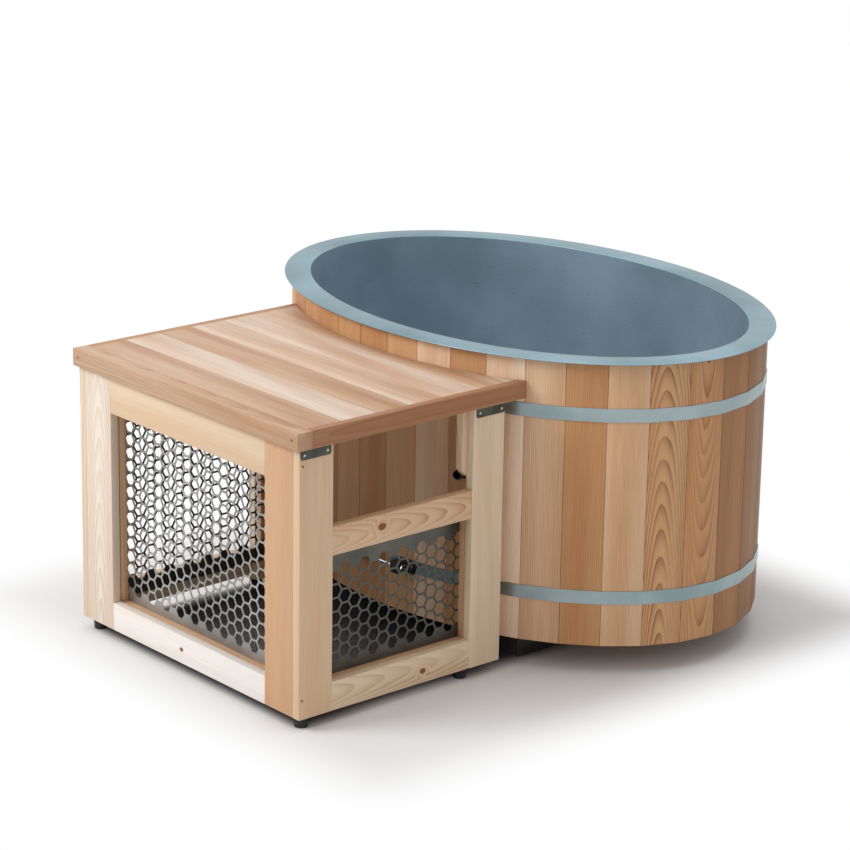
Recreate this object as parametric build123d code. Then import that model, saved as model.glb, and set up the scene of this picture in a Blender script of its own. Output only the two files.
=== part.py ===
from build123d import *
import os
from math import ceil, cos, hypot, pi, sin, sqrt

# A cold plunge tub of flat staves round a steel liner, with the timber cabinet beside it.
# Millimetres. The origin is on the floor under the middle of the tub, with +X towards the
# cabinet's right end, -Y towards its front and +Z up.

# Running clearances
scribe_gap = 0.8          # between the cabinet's top and the staves
shaft_gap = 0.08          # radial, studs and nuts on their shafts
port_gap = 0.3            # radial, fittings in the tub's wall and floor
rest_gap = 0.3            # between faces that may move past each other

# Stave shell
ring_length = 1312.0      # corner to corner along X
ring_width = 912.0        # corner to corner along Y
stave_count = 38
stave_thickness = 38.0
stave_bottom = 64.0
stave_top = 720.0
groove_depth = 8.0
floor_thickness = 38.0
floor_board_count = 7

# Plinth of folded channel
plinth_length = 726.0
plinth_corner_gap = 12.3  # from a corner of the plinth along Y to the staves
plinth_height = 100.0
plinth_flange = 40.0
plinth_sheet = 3.0
cross_member_width = 60.0

# Liner
oval_arcs = 16
liner_gap = 7.0           # from the staves' inner corners to the inside of the liner
liner_wall_sheet = 1.5
liner_floor_sheet = 2.0
rim_width = 63.0
rim_sheet = 2.0

# Hoops and their draw bolts
hoop_width = 31.0
hoop_sheet = 2.0
upper_hoop_drop = 119.0   # from the top of the staves to the middle of the upper hoop
lower_hoop_height = 178.5
hoop_seam = 29            # the seam between two staves where a hoop is drawn together
hoop_half_opening = 18.0
lug_reach = 66.0          # from the seam to the middle of a lug's eye
lug_pad_length = 52.0
lug_pad_sheet = 4.0
eye_length = 26.0
eye_height = 26.0
eye_stand_off = 20.0      # from the stave corner to the rod's axis
eye_wall = 7.0
rod_radius = 5.0
rod_play = 1.0
nut_across_flats = 17.0
nut_height = 8.0
jam_nut_height = 5.0
cap_radius = 8.0
cap_length = 13.0
cap_sides = 12
lug_bolt_radius = 6.0
lug_bolt_height = 3.5

# Hose fittings: the stave and height of each
return_index = 31
return_height = 437.0
suction_index = 30
suction_height = 285.0
collar_radius = 17.0
collar_height = 10.0
tail_radius = 12.0
tail_length = 30.0
hose_bore = 8.0
shank_radius = 13.0
port_nut_radius = 22.0
port_nut_height = 8.0
shank_overhang = 3.0
port_hole_sides = 16
nut_seat_gap = 0.35       # a flat nut on the hollow wall of the liner

# Drain
drain_x = 160.0
drain_flange_radius = 42.0
drain_flange_height = 3.0
drain_tube_radius = 24.0
drain_tail_radius = 21.5
drain_bore = 19.0
drain_tail_height = 45.0
drain_flange_sides = 36
drain_nut_radius = 34.0
drain_nut_height = 10.0
drain_nut_overhang = 3.0
plug_depth = 20.0
plug_disc_radius = 26.0
plug_disc_height = 4.0
plug_disc_sides = 24
plug_pull_radius = 5.0
plug_pull_height = 12.0
plug_pull_sides = 12

# Cabinet frame
cabinet_width = 796.0
cabinet_depth = 567.0
cabinet_rear_gap = 52.0   # from the frame's rear corners along Y to the staves
top_below_rim = 53.0      # from the cabinet's top up to the top of the staves
foot_height = 27.0
board = 21.0
end_stile_width = 89.0
front_stile_width = 97.0
top_rail_width = 85.0
front_bottom_rail_width = 65.0
end_bottom_rail_width = 66.0
mid_rail_width = 64.0
upper_bay_height = 185.0  # from the mid rail up to the frame's top
post_side = 38.0
corner_block_reach = 12.5
corner_block_height = 160.0
corner_block_slope = 17.0

# Beads behind the openings, and the perforated sheets
bead_width = 25.0
bead_depth = 21.0
bead_set_back = 2.0
quirk_width = 6.0
quirk_depth = 4.0
sheet_thickness = 1.5
hex_pitch = 31.0          # up a column
hex_across_flats = 26.4
front_first_hole = 27.6   # from the opening's bottom edge up to the lowest centre

# Cabinet top
top_thickness = 40.0
top_end_overhang = 8.0
top_front_overhang = 12.0
front_edging_width = 40.5
side_edging_width = 19.0
plank_width = 92.0
plank_thickness = 21.0
batten_width = 38.0

# Corner brackets
bracket_sheet = 2.0
bracket_length = 81.0
bracket_drop = 22.0
bracket_shelf = 19.0
bracket_inset = 1.0
bracket_corner = 6.0

# Levelling feet
foot_top_radius = 17.5
foot_bottom_radius = 15.4
foot_sides = 24
stud_radius = 4.0
stud_length = 36.0
stud_hole_depth = 50.0
foot_inset = 28.0         # from the outer faces of the frame
rear_foot_set_in = 91.5   # from the rear edge of the frame
foot_block_length = 48.0
foot_block_width = 42.0
foot_block_height = 38.0

# Values worked out from the ones above
stave_inside_x = ring_length / 2 - stave_thickness
stave_inside_y = ring_width / 2 - stave_thickness
liner_length = 2 * (stave_inside_x - liner_gap)
liner_width = 2 * (stave_inside_y - liner_gap)
plinth_corner = stave_inside_y * sqrt(1 - (plinth_length / 2 / stave_inside_x) ** 2)
plinth_width = 2 * (plinth_corner - plinth_corner_gap)
upper_hoop_height = stave_top - upper_hoop_drop
floor_bottom = plinth_height
floor_top = floor_bottom + floor_thickness
liner_floor_top = floor_top + liner_floor_sheet
rim_top = stave_top + rim_sheet
floor_board_width = (ring_width - 2 * (stave_thickness - groove_depth)) / floor_board_count
drain_y = -floor_board_width
drain_tail_top = floor_bottom - drain_nut_height - drain_nut_overhang
plug_radius = drain_bore - shaft_gap
end_outside = cabinet_width / 2
end_inside = end_outside - board
ring_corner = ring_width / 2 * sqrt(1 - (cabinet_width / ring_length) ** 2)
frame_rear = -ring_corner - cabinet_rear_gap
frame_front = frame_rear - cabinet_depth
front_inside = frame_front + board
frame_bottom = foot_height
frame_top = stave_top - top_below_rim - top_thickness
front_opening_half = end_inside - front_stile_width
front_opening_bottom = frame_bottom + front_bottom_rail_width
end_opening_bottom = frame_bottom + end_bottom_rail_width
top_rail_bottom = frame_top - top_rail_width
mid_rail_bottom = frame_top - upper_bay_height - mid_rail_width
end_opening_front = frame_front + end_stile_width
end_opening_rear = frame_rear - end_stile_width
top_surface = frame_top + top_thickness
top_front = frame_front - top_front_overhang
top_half = end_outside + top_end_overhang
plank_half = top_half - side_edging_width
plank_front = top_front + front_edging_width
plank_bottom = top_surface - plank_thickness
foot_x = end_outside - foot_inset
front_foot_y = frame_front + foot_inset
rear_foot_y = frame_rear - rear_foot_set_in
hex_column = hex_pitch * sqrt(3) / 2


def block(x, y, z):
    # A box between two values on each axis.
    size = (x[1] - x[0], y[1] - y[0], z[1] - z[0])
    middle = ((x[0] + x[1]) / 2, (y[0] + y[1]) / 2, (z[0] + z[1]) / 2)
    return Pos(*middle) * Box(*size)


def prism(points, bottom, top):
    # An upright prism on a flat outline.
    return extrude(Pos(0, 0, bottom) * Polygon(*points, align=None), amount=top - bottom, dir=(0, 0, 1))


def tube(radius, bottom, top, bore=0.0, x=0.0, y=0.0):
    # An upright round bar, or a tube where it has a bore.
    section = Circle(radius)
    if bore:
        section -= Circle(bore)
    return extrude(Pos(x, y, bottom) * section, amount=top - bottom, dir=(0, 0, 1))


def evenly_spaced(semi_x, semi_y, count):
    # Points at equal steps along an ellipse, anticlockwise, the first on +X.
    steps = 7200
    angles = [2 * pi * i / steps for i in range(steps + 1)]
    lengths = [0.0]
    for start, end in zip(angles, angles[1:]):
        middle = (start + end) / 2
        lengths.append(lengths[-1] + hypot(semi_x * sin(middle), semi_y * cos(middle)) * (end - start))
    points = []
    i = 0
    for k in range(count):
        goal = lengths[-1] * k / count
        while lengths[i + 1] < goal:
            i += 1
        share = (goal - lengths[i]) / (lengths[i + 1] - lengths[i])
        angle = angles[i] + share * (angles[i + 1] - angles[i])
        points.append((semi_x * cos(angle), semi_y * sin(angle)))
    return points


def oval(semi_x, semi_y, bottom, top):
    # An upright solid on an ellipse, drawn as arcs that meet on it.
    points = evenly_spaced(semi_x, semi_y, 2 * oval_arcs)
    points.append(points[0])
    arcs = [ThreePointArc(*points[i:i + 3]) for i in range(0, 2 * oval_arcs, 2)]
    return extrude(Pos(0, 0, bottom) * make_face(arcs), amount=top - bottom, dir=(0, 0, 1))


ring = evenly_spaced(ring_length / 2, ring_width / 2, stave_count)


def corner(k):
    return ring[k % stave_count]


def outward(k):
    # The outward direction of stave k's flat face.
    (x0, y0), (x1, y1) = corner(k), corner(k + 1)
    length = hypot(x1 - x0, y1 - y0)
    return ((y1 - y0) / length, (x0 - x1) / length)


def inset_corner(k, depth):
    # Seam k of the stave ring, moved in by a depth that is square to both faces.
    (x, y), a, b = corner(k), outward(k - 1), outward(k)
    share = depth / (1 + a[0] * b[0] + a[1] * b[1])
    return (x - (a[0] + b[0]) * share, y - (a[1] + b[1]) * share)


def inset_ring(depth):
    return [inset_corner(k, depth) for k in range(stave_count)]


def stave_band(k, outer, inner, bottom, top):
    # The part of stave k between two depths.
    points = [inset_corner(k, outer), inset_corner(k + 1, outer)]
    points += [inset_corner(k + 1, inner), inset_corner(k, inner)]
    return prism(points, bottom, top)


def port_plane(k, height):
    # On the middle of stave k's face, with Z pointing out.
    (x0, y0), (x1, y1) = corner(k), corner(k + 1)
    normal = outward(k)
    return Plane(origin=((x0 + x1) / 2, (y0 + y1) / 2, height), x_dir=(0, 0, 1), z_dir=(*normal, 0))


def liner_depth(k):
    # From the middle of stave k's face to the inside of the liner, square to the face.
    (x0, y0), (x1, y1), (nx, ny) = corner(k), corner(k + 1), outward(k)
    x, y = (x0 + x1) / 2, (y0 + y1) / 2
    a2, b2 = (liner_length / 2) ** 2, (liner_width / 2) ** 2
    square = nx * nx / a2 + ny * ny / b2
    cross = x * nx / a2 + y * ny / b2
    rest = x * x / a2 + y * y / b2 - 1
    return (cross - sqrt(cross * cross - square * rest)) / square


def port_hole(k, height):
    reach = liner_depth(k) + port_nut_height
    radius = (shank_radius + port_gap) / cos(pi / port_hole_sides)
    outline = Pos(0, 0, -reach) * RegularPolygon(radius, port_hole_sides)
    return port_plane(k, height) * extrude(outline, amount=reach + collar_height, dir=(0, 0, 1))


def make_staves():
    holes = {return_index: return_height, suction_index: suction_height}
    staves = []
    for k in range(stave_count):
        stave = stave_band(k, 0, stave_thickness, stave_bottom, stave_top)
        groove_inset = stave_thickness - groove_depth
        stave -= stave_band(k, groove_inset, 2 * stave_thickness, floor_bottom, floor_top)
        if k in holes:
            stave -= port_hole(k, holes[k])
        staves.append(stave)
    return staves


def make_floor_boards():
    slab = prism(inset_ring(stave_thickness - groove_depth), floor_bottom, floor_top)
    slab -= tube(drain_tube_radius + port_gap, 0, floor_top, x=drain_x, y=drain_y)
    half = ring_length / 2
    first = -floor_board_width * floor_board_count / 2
    boards = []
    for i in range(floor_board_count):
        y0 = first + i * floor_board_width
        boards.append(slab & block((-half, half), (y0, y0 + floor_board_width), (0, stave_top)))
    return boards


def channel_ring(height):
    # A rectangular ring of channel, its open side facing in.
    length, width, lip = plinth_length, plinth_width, plinth_flange
    ring_box = Pos(0, 0, height / 2) * Box(length, width, height)
    gap = height - 2 * plinth_sheet
    hollow = Pos(0, 0, height / 2) * Box(length - 2 * plinth_sheet, width - 2 * plinth_sheet, gap)
    window = Pos(0, 0, height / 2) * Box(length - 2 * lip, width - 2 * lip, height)
    return ring_box - hollow - window


def make_plinth():
    x0 = -cross_member_width / 2
    web = x0 + plinth_sheet
    y = plinth_width / 2 - plinth_sheet
    member = block((x0, -x0), (-y, y), (0, plinth_height))
    member -= block((web, -x0), (-y, y), (plinth_sheet, plinth_height - plinth_sheet))
    return channel_ring(plinth_height) + member


def make_liner_wall():
    inner_x, inner_y = liner_length / 2, liner_width / 2
    outer_x, outer_y = inner_x + liner_wall_sheet, inner_y + liner_wall_sheet
    wall = oval(outer_x, outer_y, liner_floor_top, stave_top)
    wall -= oval(inner_x, inner_y, liner_floor_top, stave_top)
    for k, height in ((return_index, return_height), (suction_index, suction_height)):
        wall -= port_hole(k, height)
    return wall


def make_liner_floor():
    semi_x, semi_y = liner_length / 2 + liner_wall_sheet, liner_width / 2 + liner_wall_sheet
    hole = tube(drain_tube_radius + port_gap, floor_top, liner_floor_top, x=drain_x, y=drain_y)
    return oval(semi_x, semi_y, floor_top, liner_floor_top) - hole


def make_rim_flange():
    inner_x, inner_y = liner_length / 2, liner_width / 2
    outer = oval(inner_x + rim_width, inner_y + rim_width, stave_top, rim_top)
    return outer - oval(inner_x, inner_y, stave_top, rim_top)


def make_hoop(height):
    # The band runs flat from stave to stave and stops on both sides of the draw seam.
    def end_point(side, inset):
        k = hoop_seam if side > 0 else hoop_seam - 1
        normal = outward(k)
        x, y = corner(hoop_seam)
        along = (-normal[1] * side, normal[0] * side)
        return (x + along[0] * hoop_half_opening - normal[0] * inset,
                y + along[1] * hoop_half_opening - normal[1] * inset)

    seams = range(hoop_seam + 1, hoop_seam + stave_count)
    inside = [end_point(1, 0)] + [inset_corner(k, 0) for k in seams] + [end_point(-1, 0)]
    outside = [end_point(1, -hoop_sheet)] + [inset_corner(k, -hoop_sheet) for k in seams]
    outside += [end_point(-1, -hoop_sheet)]
    return prism(inside + outside[::-1], height - hoop_width / 2, height + hoop_width / 2)


def draw_plane(height):
    # On the rod's axis outside the draw seam: Z along the rod, X straight out.
    a, b = outward(hoop_seam - 1), outward(hoop_seam)
    length = hypot(a[0] + b[0], a[1] + b[1])
    nx, ny = (a[0] + b[0]) / length, (a[1] + b[1]) / length
    x, y = corner(hoop_seam)
    origin = (x + nx * eye_stand_off, y + ny * eye_stand_off, height)
    return Plane(origin=origin, x_dir=(nx, ny, 0), z_dir=(-ny, nx, 0))


def lug_plane(side, height):
    # On the hoop's face under a lug: Z out of the face, X along it and away from the seam.
    normal = outward(hoop_seam if side > 0 else hoop_seam - 1)
    along = (-normal[1] * side, normal[0] * side)
    x, y = corner(hoop_seam)
    origin = (x + along[0] * lug_reach + normal[0] * hoop_sheet,
              y + along[1] * lug_reach + normal[1] * hoop_sheet, height)
    return Plane(origin=origin, x_dir=(*along, 0), z_dir=(*normal, 0))


def make_lugs(height):
    lugs = []
    eye_out = rod_radius + eye_wall
    eye_in = hoop_sheet - eye_stand_off
    pad_start = -eye_length / 2 - lug_pad_sheet
    for side in (1, -1):
        pad_middle = pad_start + lug_pad_length / 2
        pad = Pos(pad_middle, 0, lug_pad_sheet / 2) * Box(lug_pad_length, hoop_width, lug_pad_sheet)
        eye_x = (eye_in + eye_out) / 2
        eye = Pos(eye_x, 0, side * lug_reach) * Box(eye_out - eye_in, eye_height, eye_length)
        bore = Pos(0, 0, side * lug_reach) * Cylinder(rod_radius + rod_play, 2 * eye_length)
        lug = lug_plane(side, height) * pad + draw_plane(height) * eye
        lugs.append(lug - draw_plane(height) * bore)
    return lugs


def make_lug_bolts(height):
    # A hexagon head on the far end of each pad.
    x = lug_pad_length - eye_length / 2 - lug_pad_sheet - 1.5 * lug_bolt_radius
    head = Pos(x, 0, lug_pad_sheet) * extrude(RegularPolygon(lug_bolt_radius, 6), amount=lug_bolt_height)
    return [lug_plane(side, height) * head for side in (1, -1)]


def eye_outer_face():
    return lug_reach + eye_length / 2


def rod_half_length():
    return eye_outer_face() + nut_height + rest_gap


def make_rod(height):
    return draw_plane(height) * Cylinder(rod_radius, 2 * rod_half_length())


def hex_nut(height, start, thickness):
    # A nut on the rod, from a place along it.
    flat = RegularPolygon(nut_across_flats / 2, 6, major_radius=False) - Circle(rod_radius + shaft_gap)
    return draw_plane(height) * extrude(Pos(0, 0, start) * flat, amount=thickness, dir=(0, 0, 1))


def make_draw_nut(height):
    return hex_nut(height, eye_outer_face(), nut_height)


def make_lock_nuts(height):
    inner = lug_reach - eye_length / 2 - jam_nut_height
    return [hex_nut(height, inner, jam_nut_height),
            hex_nut(height, -eye_outer_face() - nut_height, nut_height)]


def make_rod_caps(height):
    middle = rod_half_length() + cap_length / 2
    section = Pos(0, 0, -cap_length / 2) * RegularPolygon(cap_radius, cap_sides)
    cap = extrude(section, amount=cap_length, dir=(0, 0, 1))
    return [draw_plane(height) * Pos(0, 0, side * middle) * cap for side in (1, -1)]


def make_port(k, height):
    # Shank, hexagonal collar and hose tail, with the hose bore through them.
    inner_end = -liner_depth(k) - nut_seat_gap - port_nut_height - shank_overhang
    outer_end = collar_height + tail_length
    port = tube(shank_radius, inner_end, 0)
    port += extrude(RegularPolygon(collar_radius, 6), amount=collar_height, dir=(0, 0, 1))
    port += tube(tail_radius, collar_height, outer_end)
    return port_plane(k, height) * (port - tube(hose_bore, inner_end, outer_end))


def make_port_nut(k, height):
    start = -liner_depth(k) - nut_seat_gap
    ring_face = RegularPolygon(port_nut_radius, 6) - Circle(shank_radius + shaft_gap)
    nut = extrude(Pos(0, 0, start) * ring_face, amount=-port_nut_height)
    return port_plane(k, height) * nut


def make_drain_body():
    # Hose tail, threaded tube and flange, with the drain's bore through them.
    top = liner_floor_top + drain_flange_height
    body = tube(drain_tail_radius, drain_tail_height, drain_tail_top, x=drain_x, y=drain_y)
    body += tube(drain_tube_radius, drain_tail_top, liner_floor_top, x=drain_x, y=drain_y)
    flange = Pos(drain_x, drain_y, liner_floor_top) * RegularPolygon(drain_flange_radius, drain_flange_sides)
    body += extrude(flange, amount=drain_flange_height, dir=(0, 0, 1))
    return body - tube(drain_bore, drain_tail_height, top, x=drain_x, y=drain_y)


def make_drain_nut():
    bottom = floor_bottom - drain_nut_height
    section = RegularPolygon(drain_nut_radius, 6) - Circle(drain_tube_radius + shaft_gap)
    return extrude(Pos(drain_x, drain_y, bottom) * section, amount=drain_nut_height, dir=(0, 0, 1))


def make_drain_plug():
    seat = liner_floor_top + drain_flange_height
    disc_top = seat + plug_disc_height
    plug = tube(plug_radius, seat - plug_depth, seat, x=drain_x, y=drain_y)
    disc = Pos(drain_x, drain_y, seat) * RegularPolygon(plug_disc_radius, plug_disc_sides)
    pull = Pos(drain_x, drain_y, disc_top) * RegularPolygon(plug_pull_radius, plug_pull_sides)
    plug += extrude(disc, amount=plug_disc_height, dir=(0, 0, 1))
    return plug + extrude(pull, amount=plug_pull_height, dir=(0, 0, 1))


def mirrored(shape):
    # The same piece on the cabinet's left end.
    return mirror(shape, about=Plane.YZ)


def make_front_stile():
    x = (front_opening_half, end_inside)
    return block(x, (frame_front, front_inside), (frame_bottom, frame_top))


def make_front_rail(bottom, top):
    return block((-front_opening_half, front_opening_half), (frame_front, front_inside), (bottom, top))


def bracket_recess(y):
    return block((end_outside - bracket_shelf, end_outside), y, (frame_top - bracket_sheet, frame_top))


def front_bracket_y():
    return (frame_front + bracket_inset, frame_front + bracket_inset + bracket_length)


def rear_bracket_y():
    return (frame_rear - bracket_inset - bracket_length, frame_rear - bracket_inset)


def make_end_stile(y, bracket_y):
    stile = block((end_inside, end_outside), y, (frame_bottom, frame_top))
    return stile - bracket_recess(bracket_y)


def make_end_rail(bottom, top):
    return block((end_inside, end_outside), (end_opening_front, end_opening_rear), (bottom, top))


def stud_hole(y, bottom):
    return tube(stud_radius + shaft_gap, bottom, bottom + stud_hole_depth, x=foot_x, y=y)


def make_corner_posts():
    x = (end_inside - post_side, end_inside)
    front = block(x, (front_inside, front_inside + post_side), (frame_bottom, frame_top))
    front -= stud_hole(front_foot_y, frame_bottom)
    rear = block(x, (frame_rear - post_side, frame_rear), (frame_bottom, frame_top))
    return [front, rear, mirrored(front), mirrored(rear)]


def make_corner_block():
    # A short board behind the rear stile of the open bay, its lower front corner cut off.
    front = end_opening_rear - corner_block_reach
    rear = frame_rear - post_side
    bottom = frame_top - corner_block_height
    outline = [(front, frame_top), (front, bottom + corner_block_slope)]
    outline += [(front + corner_block_slope, bottom), (rear, bottom), (rear, frame_top)]
    side = Plane(origin=(end_inside, 0, 0), x_dir=(0, 1, 0), z_dir=(1, 0, 0))
    return extrude(side * Polygon(*outline, align=None), amount=-board)


def make_foot_blocks():
    y = (rear_foot_y - foot_block_length / 2, rear_foot_y + foot_block_length / 2)
    x = (end_inside - foot_block_width, end_inside)
    right = block(x, y, (frame_bottom, frame_bottom + foot_block_height))
    right -= stud_hole(rear_foot_y, frame_bottom)
    return [right, mirrored(right)]


def opening_plane(end):
    # On the back of a frame's boards, seen from outside: X across, Y up, Z out.
    if end == "front":
        return Plane(origin=(0, front_inside, 0), x_dir=(1, 0, 0), z_dir=(0, -1, 0))
    return Plane(origin=(end_inside, 0, 0), x_dir=(0, 1, 0), z_dir=(1, 0, 0))


def bead_strip(length):
    # One strip along X, its edge at the opening on Y = 0, with the quirk beside the board.
    outline = [(0, -quirk_depth), (-quirk_width, -quirk_depth), (-quirk_width, 0)]
    outline += [(-bead_width, 0), (-bead_width, -bead_depth), (0, -bead_depth)]
    section = Plane(origin=(0, 0, 0), x_dir=(0, 1, 0), z_dir=(1, 0, 0)) * Polygon(*outline, align=None)
    return extrude(section, amount=length, dir=(1, 0, 0))


def make_beads(plane, x, y):
    # Four strips round an opening: the upright ones run through, the level ones fit between.
    x0, x1 = x[0] - bead_set_back, x[1] + bead_set_back
    y0, y1 = y[0] - bead_set_back, y[1] + bead_set_back
    level = bead_strip(x1 - x0)
    upright = bead_strip(y1 - y0 + 2 * bead_width)
    strips = [Pos(x0, y0, 0) * level, Pos(x1, y1, 0) * Rot(0, 0, 180) * level]
    strips += [Pos(x1, y0 - bead_width, 0) * Rot(0, 0, 90) * upright]
    strips += [Pos(x0, y1 + bead_width, 0) * Rot(0, 0, -90) * upright]
    return [plane * strip for strip in strips]


def hex_outline(x, y):
    # A hexagon with a flat top and bottom.
    radius = hex_across_flats / sqrt(3)
    return [(x + radius * cos(pi * i / 3), y + radius * sin(pi * i / 3)) for i in range(6)]


def hex_centres(middle, half_columns, even_start, odd_start, rows):
    # Staggered columns of holes about a middle column.
    centres = []
    for k in range(-half_columns, half_columns + 1):
        start = odd_start if k % 2 else even_start
        centres += [(middle + k * hex_column, start + j * hex_pitch) for j in range(rows)]
    return centres


def make_sheet(plane, x, y, centres):
    # The sheet lies on the back of the beads and reaches to their outer edges.
    reach = bead_set_back + bead_width
    x0, x1 = x[0] - reach, x[1] + reach
    y0, y1 = y[0] - reach, y[1] + reach
    outline = Wire.make_polygon([(x0, y0), (x1, y0), (x1, y1), (x0, y1)], close=True)
    holes = [Wire.make_polygon(hex_outline(*centre), close=True) for centre in centres]
    face = Face(outline, holes)
    return plane * Pos(0, 0, -bead_depth) * extrude(face, amount=-sheet_thickness, dir=(0, 0, 1))


def rows_that_fit(start, end):
    return int((end - start) // hex_pitch) + 1


def make_front_sheet():
    half, bottom, top = front_opening_half, front_opening_bottom, top_rail_bottom
    odd = bottom + front_first_hole
    columns = int(half // hex_column)
    rows = rows_that_fit(odd, top)
    centres = hex_centres(0, columns, odd + hex_pitch / 2, odd, rows)
    return make_sheet(opening_plane("front"), (-half, half), (bottom, top), centres)


def make_side_sheet(top):
    across = (end_opening_front, end_opening_rear)
    return make_sheet(opening_plane("end"), across, (end_opening_bottom, top), [])


def scribe():
    # What the staves take out of the cabinet's top.
    semi_x, semi_y = ring_length / 2 + scribe_gap, ring_width / 2 + scribe_gap
    return oval(semi_x, semi_y, frame_top - board, top_surface + board)


def make_front_edging():
    return block((-top_half, top_half), (top_front, plank_front), (frame_top, top_surface))


def make_side_edging():
    return block((plank_half, top_half), (plank_front, 0), (frame_top, top_surface)) - scribe()


def plank_rows():
    # Front and rear line of each plank, up to the last one that still shows in the corners.
    semi_x, semi_y = ring_length / 2 + scribe_gap, ring_width / 2 + scribe_gap
    corner_y = -semi_y * sqrt(1 - (plank_half / semi_x) ** 2)
    count = ceil((corner_y - plank_front) / plank_width)
    return [(plank_front + i * plank_width, plank_front + (i + 1) * plank_width) for i in range(count)]


def make_plank(row):
    return block((-plank_half, plank_half), row, (plank_bottom, top_surface)) - scribe()


def make_battens():
    z = (frame_top, plank_bottom)
    outer = (plank_half - batten_width, plank_half)
    side = block(outer, (plank_front, 0), z) - scribe()
    middle = block((-batten_width / 2, batten_width / 2), (plank_front, 0), z) - scribe()
    return [side, middle, mirrored(side)]


def make_bracket(y):
    # Bent sheet over the top edge of a stile, with rounded lower corners.
    top, outer = frame_top, end_outside + bracket_sheet
    leg = block((end_outside, outer), y, (top - bracket_drop, top))
    lower = leg.edges().filter_by(Axis.X).group_by(Axis.Z)[0]
    return fillet(lower, bracket_corner) + bracket_recess(y)


def make_brackets():
    right = [make_bracket(front_bracket_y()), make_bracket(rear_bracket_y())]
    return right + [mirrored(bracket) for bracket in right]


def tapered_prism(sides, bottom_radius, top_radius, height):
    # A prism on the origin whose flat sides lean outwards.
    def ring_of(radius, z):
        turns = [2 * pi * i / sides for i in range(sides)]
        return [(radius * cos(turn), radius * sin(turn), z) for turn in turns]

    lower, upper = ring_of(bottom_radius, 0), ring_of(top_radius, height)
    outlines = [lower, upper]
    outlines += [[lower[i - 1], lower[i], upper[i], upper[i - 1]] for i in range(sides)]
    return Solid(Shell([Face(Wire.make_polygon(outline, close=True)) for outline in outlines]))


def make_foot(x, y):
    # A tapered glide with its stud.
    glide_height = foot_height - rest_gap
    glide = tapered_prism(foot_sides, foot_bottom_radius, foot_top_radius, glide_height)
    return Pos(x, y, 0) * (glide + tube(stud_radius, glide_height, glide_height + stud_length))


def make_parts():
    front_y = (frame_front, end_opening_front)
    rear_y = (end_opening_rear, frame_rear)
    front_stile = make_front_stile()
    end_front_stile = make_end_stile(front_y, front_bracket_y())
    end_rear_stile = make_end_stile(rear_y, rear_bracket_y())
    end_bottom_rail = make_end_rail(frame_bottom, end_opening_bottom)
    side_x = (end_opening_front, end_opening_rear)
    right_bay = (end_opening_bottom, mid_rail_bottom)
    left_bay = (end_opening_bottom, top_rail_bottom)
    front_x = (-front_opening_half, front_opening_half)
    front_bay = (front_opening_bottom, top_rail_bottom)
    left_beads = [mirrored(strip) for strip in make_beads(opening_plane("end"), side_x, left_bay)]
    side_edging = make_side_edging()
    heights = (upper_hoop_height, lower_hoop_height)
    parts = {
        "plinth": make_plinth(),
        "floor_boards": make_floor_boards(),
        "staves": make_staves(),
        "liner_wall": make_liner_wall(),
        "liner_floor": make_liner_floor(),
        "rim_flange": make_rim_flange(),
        "upper_hoop": make_hoop(upper_hoop_height),
        "lower_hoop": make_hoop(lower_hoop_height),
        "upper_hoop_lugs": make_lugs(upper_hoop_height),
        "lower_hoop_lugs": make_lugs(lower_hoop_height),
        "lug_bolts": [bolt for height in heights for bolt in make_lug_bolts(height)],
        "upper_draw_rod": make_rod(upper_hoop_height),
        "lower_draw_rod": make_rod(lower_hoop_height),
        "upper_draw_nut": make_draw_nut(upper_hoop_height),
        "lower_draw_nut": make_draw_nut(lower_hoop_height),
        "lock_nuts": [nut for height in heights for nut in make_lock_nuts(height)],
        "rod_caps": [cap for height in heights for cap in make_rod_caps(height)],
        "return_port": make_port(return_index, return_height),
        "suction_port": make_port(suction_index, suction_height),
        "port_nuts": [make_port_nut(return_index, return_height),
                      make_port_nut(suction_index, suction_height)],
        "drain_body": make_drain_body(),
        "drain_nut": make_drain_nut(),
        "drain_plug": make_drain_plug(),
        "front_right_stile": front_stile,
        "front_left_stile": mirrored(front_stile),
        "front_top_rail": make_front_rail(top_rail_bottom, frame_top),
        "front_bottom_rail": make_front_rail(frame_bottom, front_opening_bottom),
        "right_front_stile": end_front_stile,
        "right_rear_stile": end_rear_stile,
        "right_mid_rail": make_end_rail(mid_rail_bottom, mid_rail_bottom + mid_rail_width),
        "right_bottom_rail": end_bottom_rail,
        "left_front_stile": mirrored(end_front_stile),
        "left_rear_stile": mirrored(end_rear_stile),
        "left_top_rail": mirrored(make_end_rail(top_rail_bottom, frame_top)),
        "left_bottom_rail": mirrored(end_bottom_rail),
        "corner_posts": make_corner_posts(),
        "right_corner_block": make_corner_block(),
        "foot_blocks": make_foot_blocks(),
        "front_beads": make_beads(opening_plane("front"), front_x, front_bay),
        "right_beads": make_beads(opening_plane("end"), side_x, right_bay),
        "left_beads": left_beads,
        "front_sheet": make_front_sheet(),
        "right_sheet": make_side_sheet(mid_rail_bottom),
        "left_sheet": mirrored(make_side_sheet(top_rail_bottom)),
        "front_edging": make_front_edging(),
        "right_edging": side_edging,
        "left_edging": mirrored(side_edging),
        "top_battens": make_battens(),
        "corner_brackets": make_brackets(),
        "front_right_foot": make_foot(foot_x, front_foot_y),
        "front_left_foot": make_foot(-foot_x, front_foot_y),
        "rear_right_foot": make_foot(foot_x, rear_foot_y),
        "rear_left_foot": make_foot(-foot_x, rear_foot_y),
    }
    for i, row in enumerate(plank_rows(), start=1):
        parts[f"top_plank_{i}"] = make_plank(row)
    return parts


def solids_of(shape):
    shapes = shape if isinstance(shape, list) else [shape]
    return [solid for item in shapes for solid in item.solids()]


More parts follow.
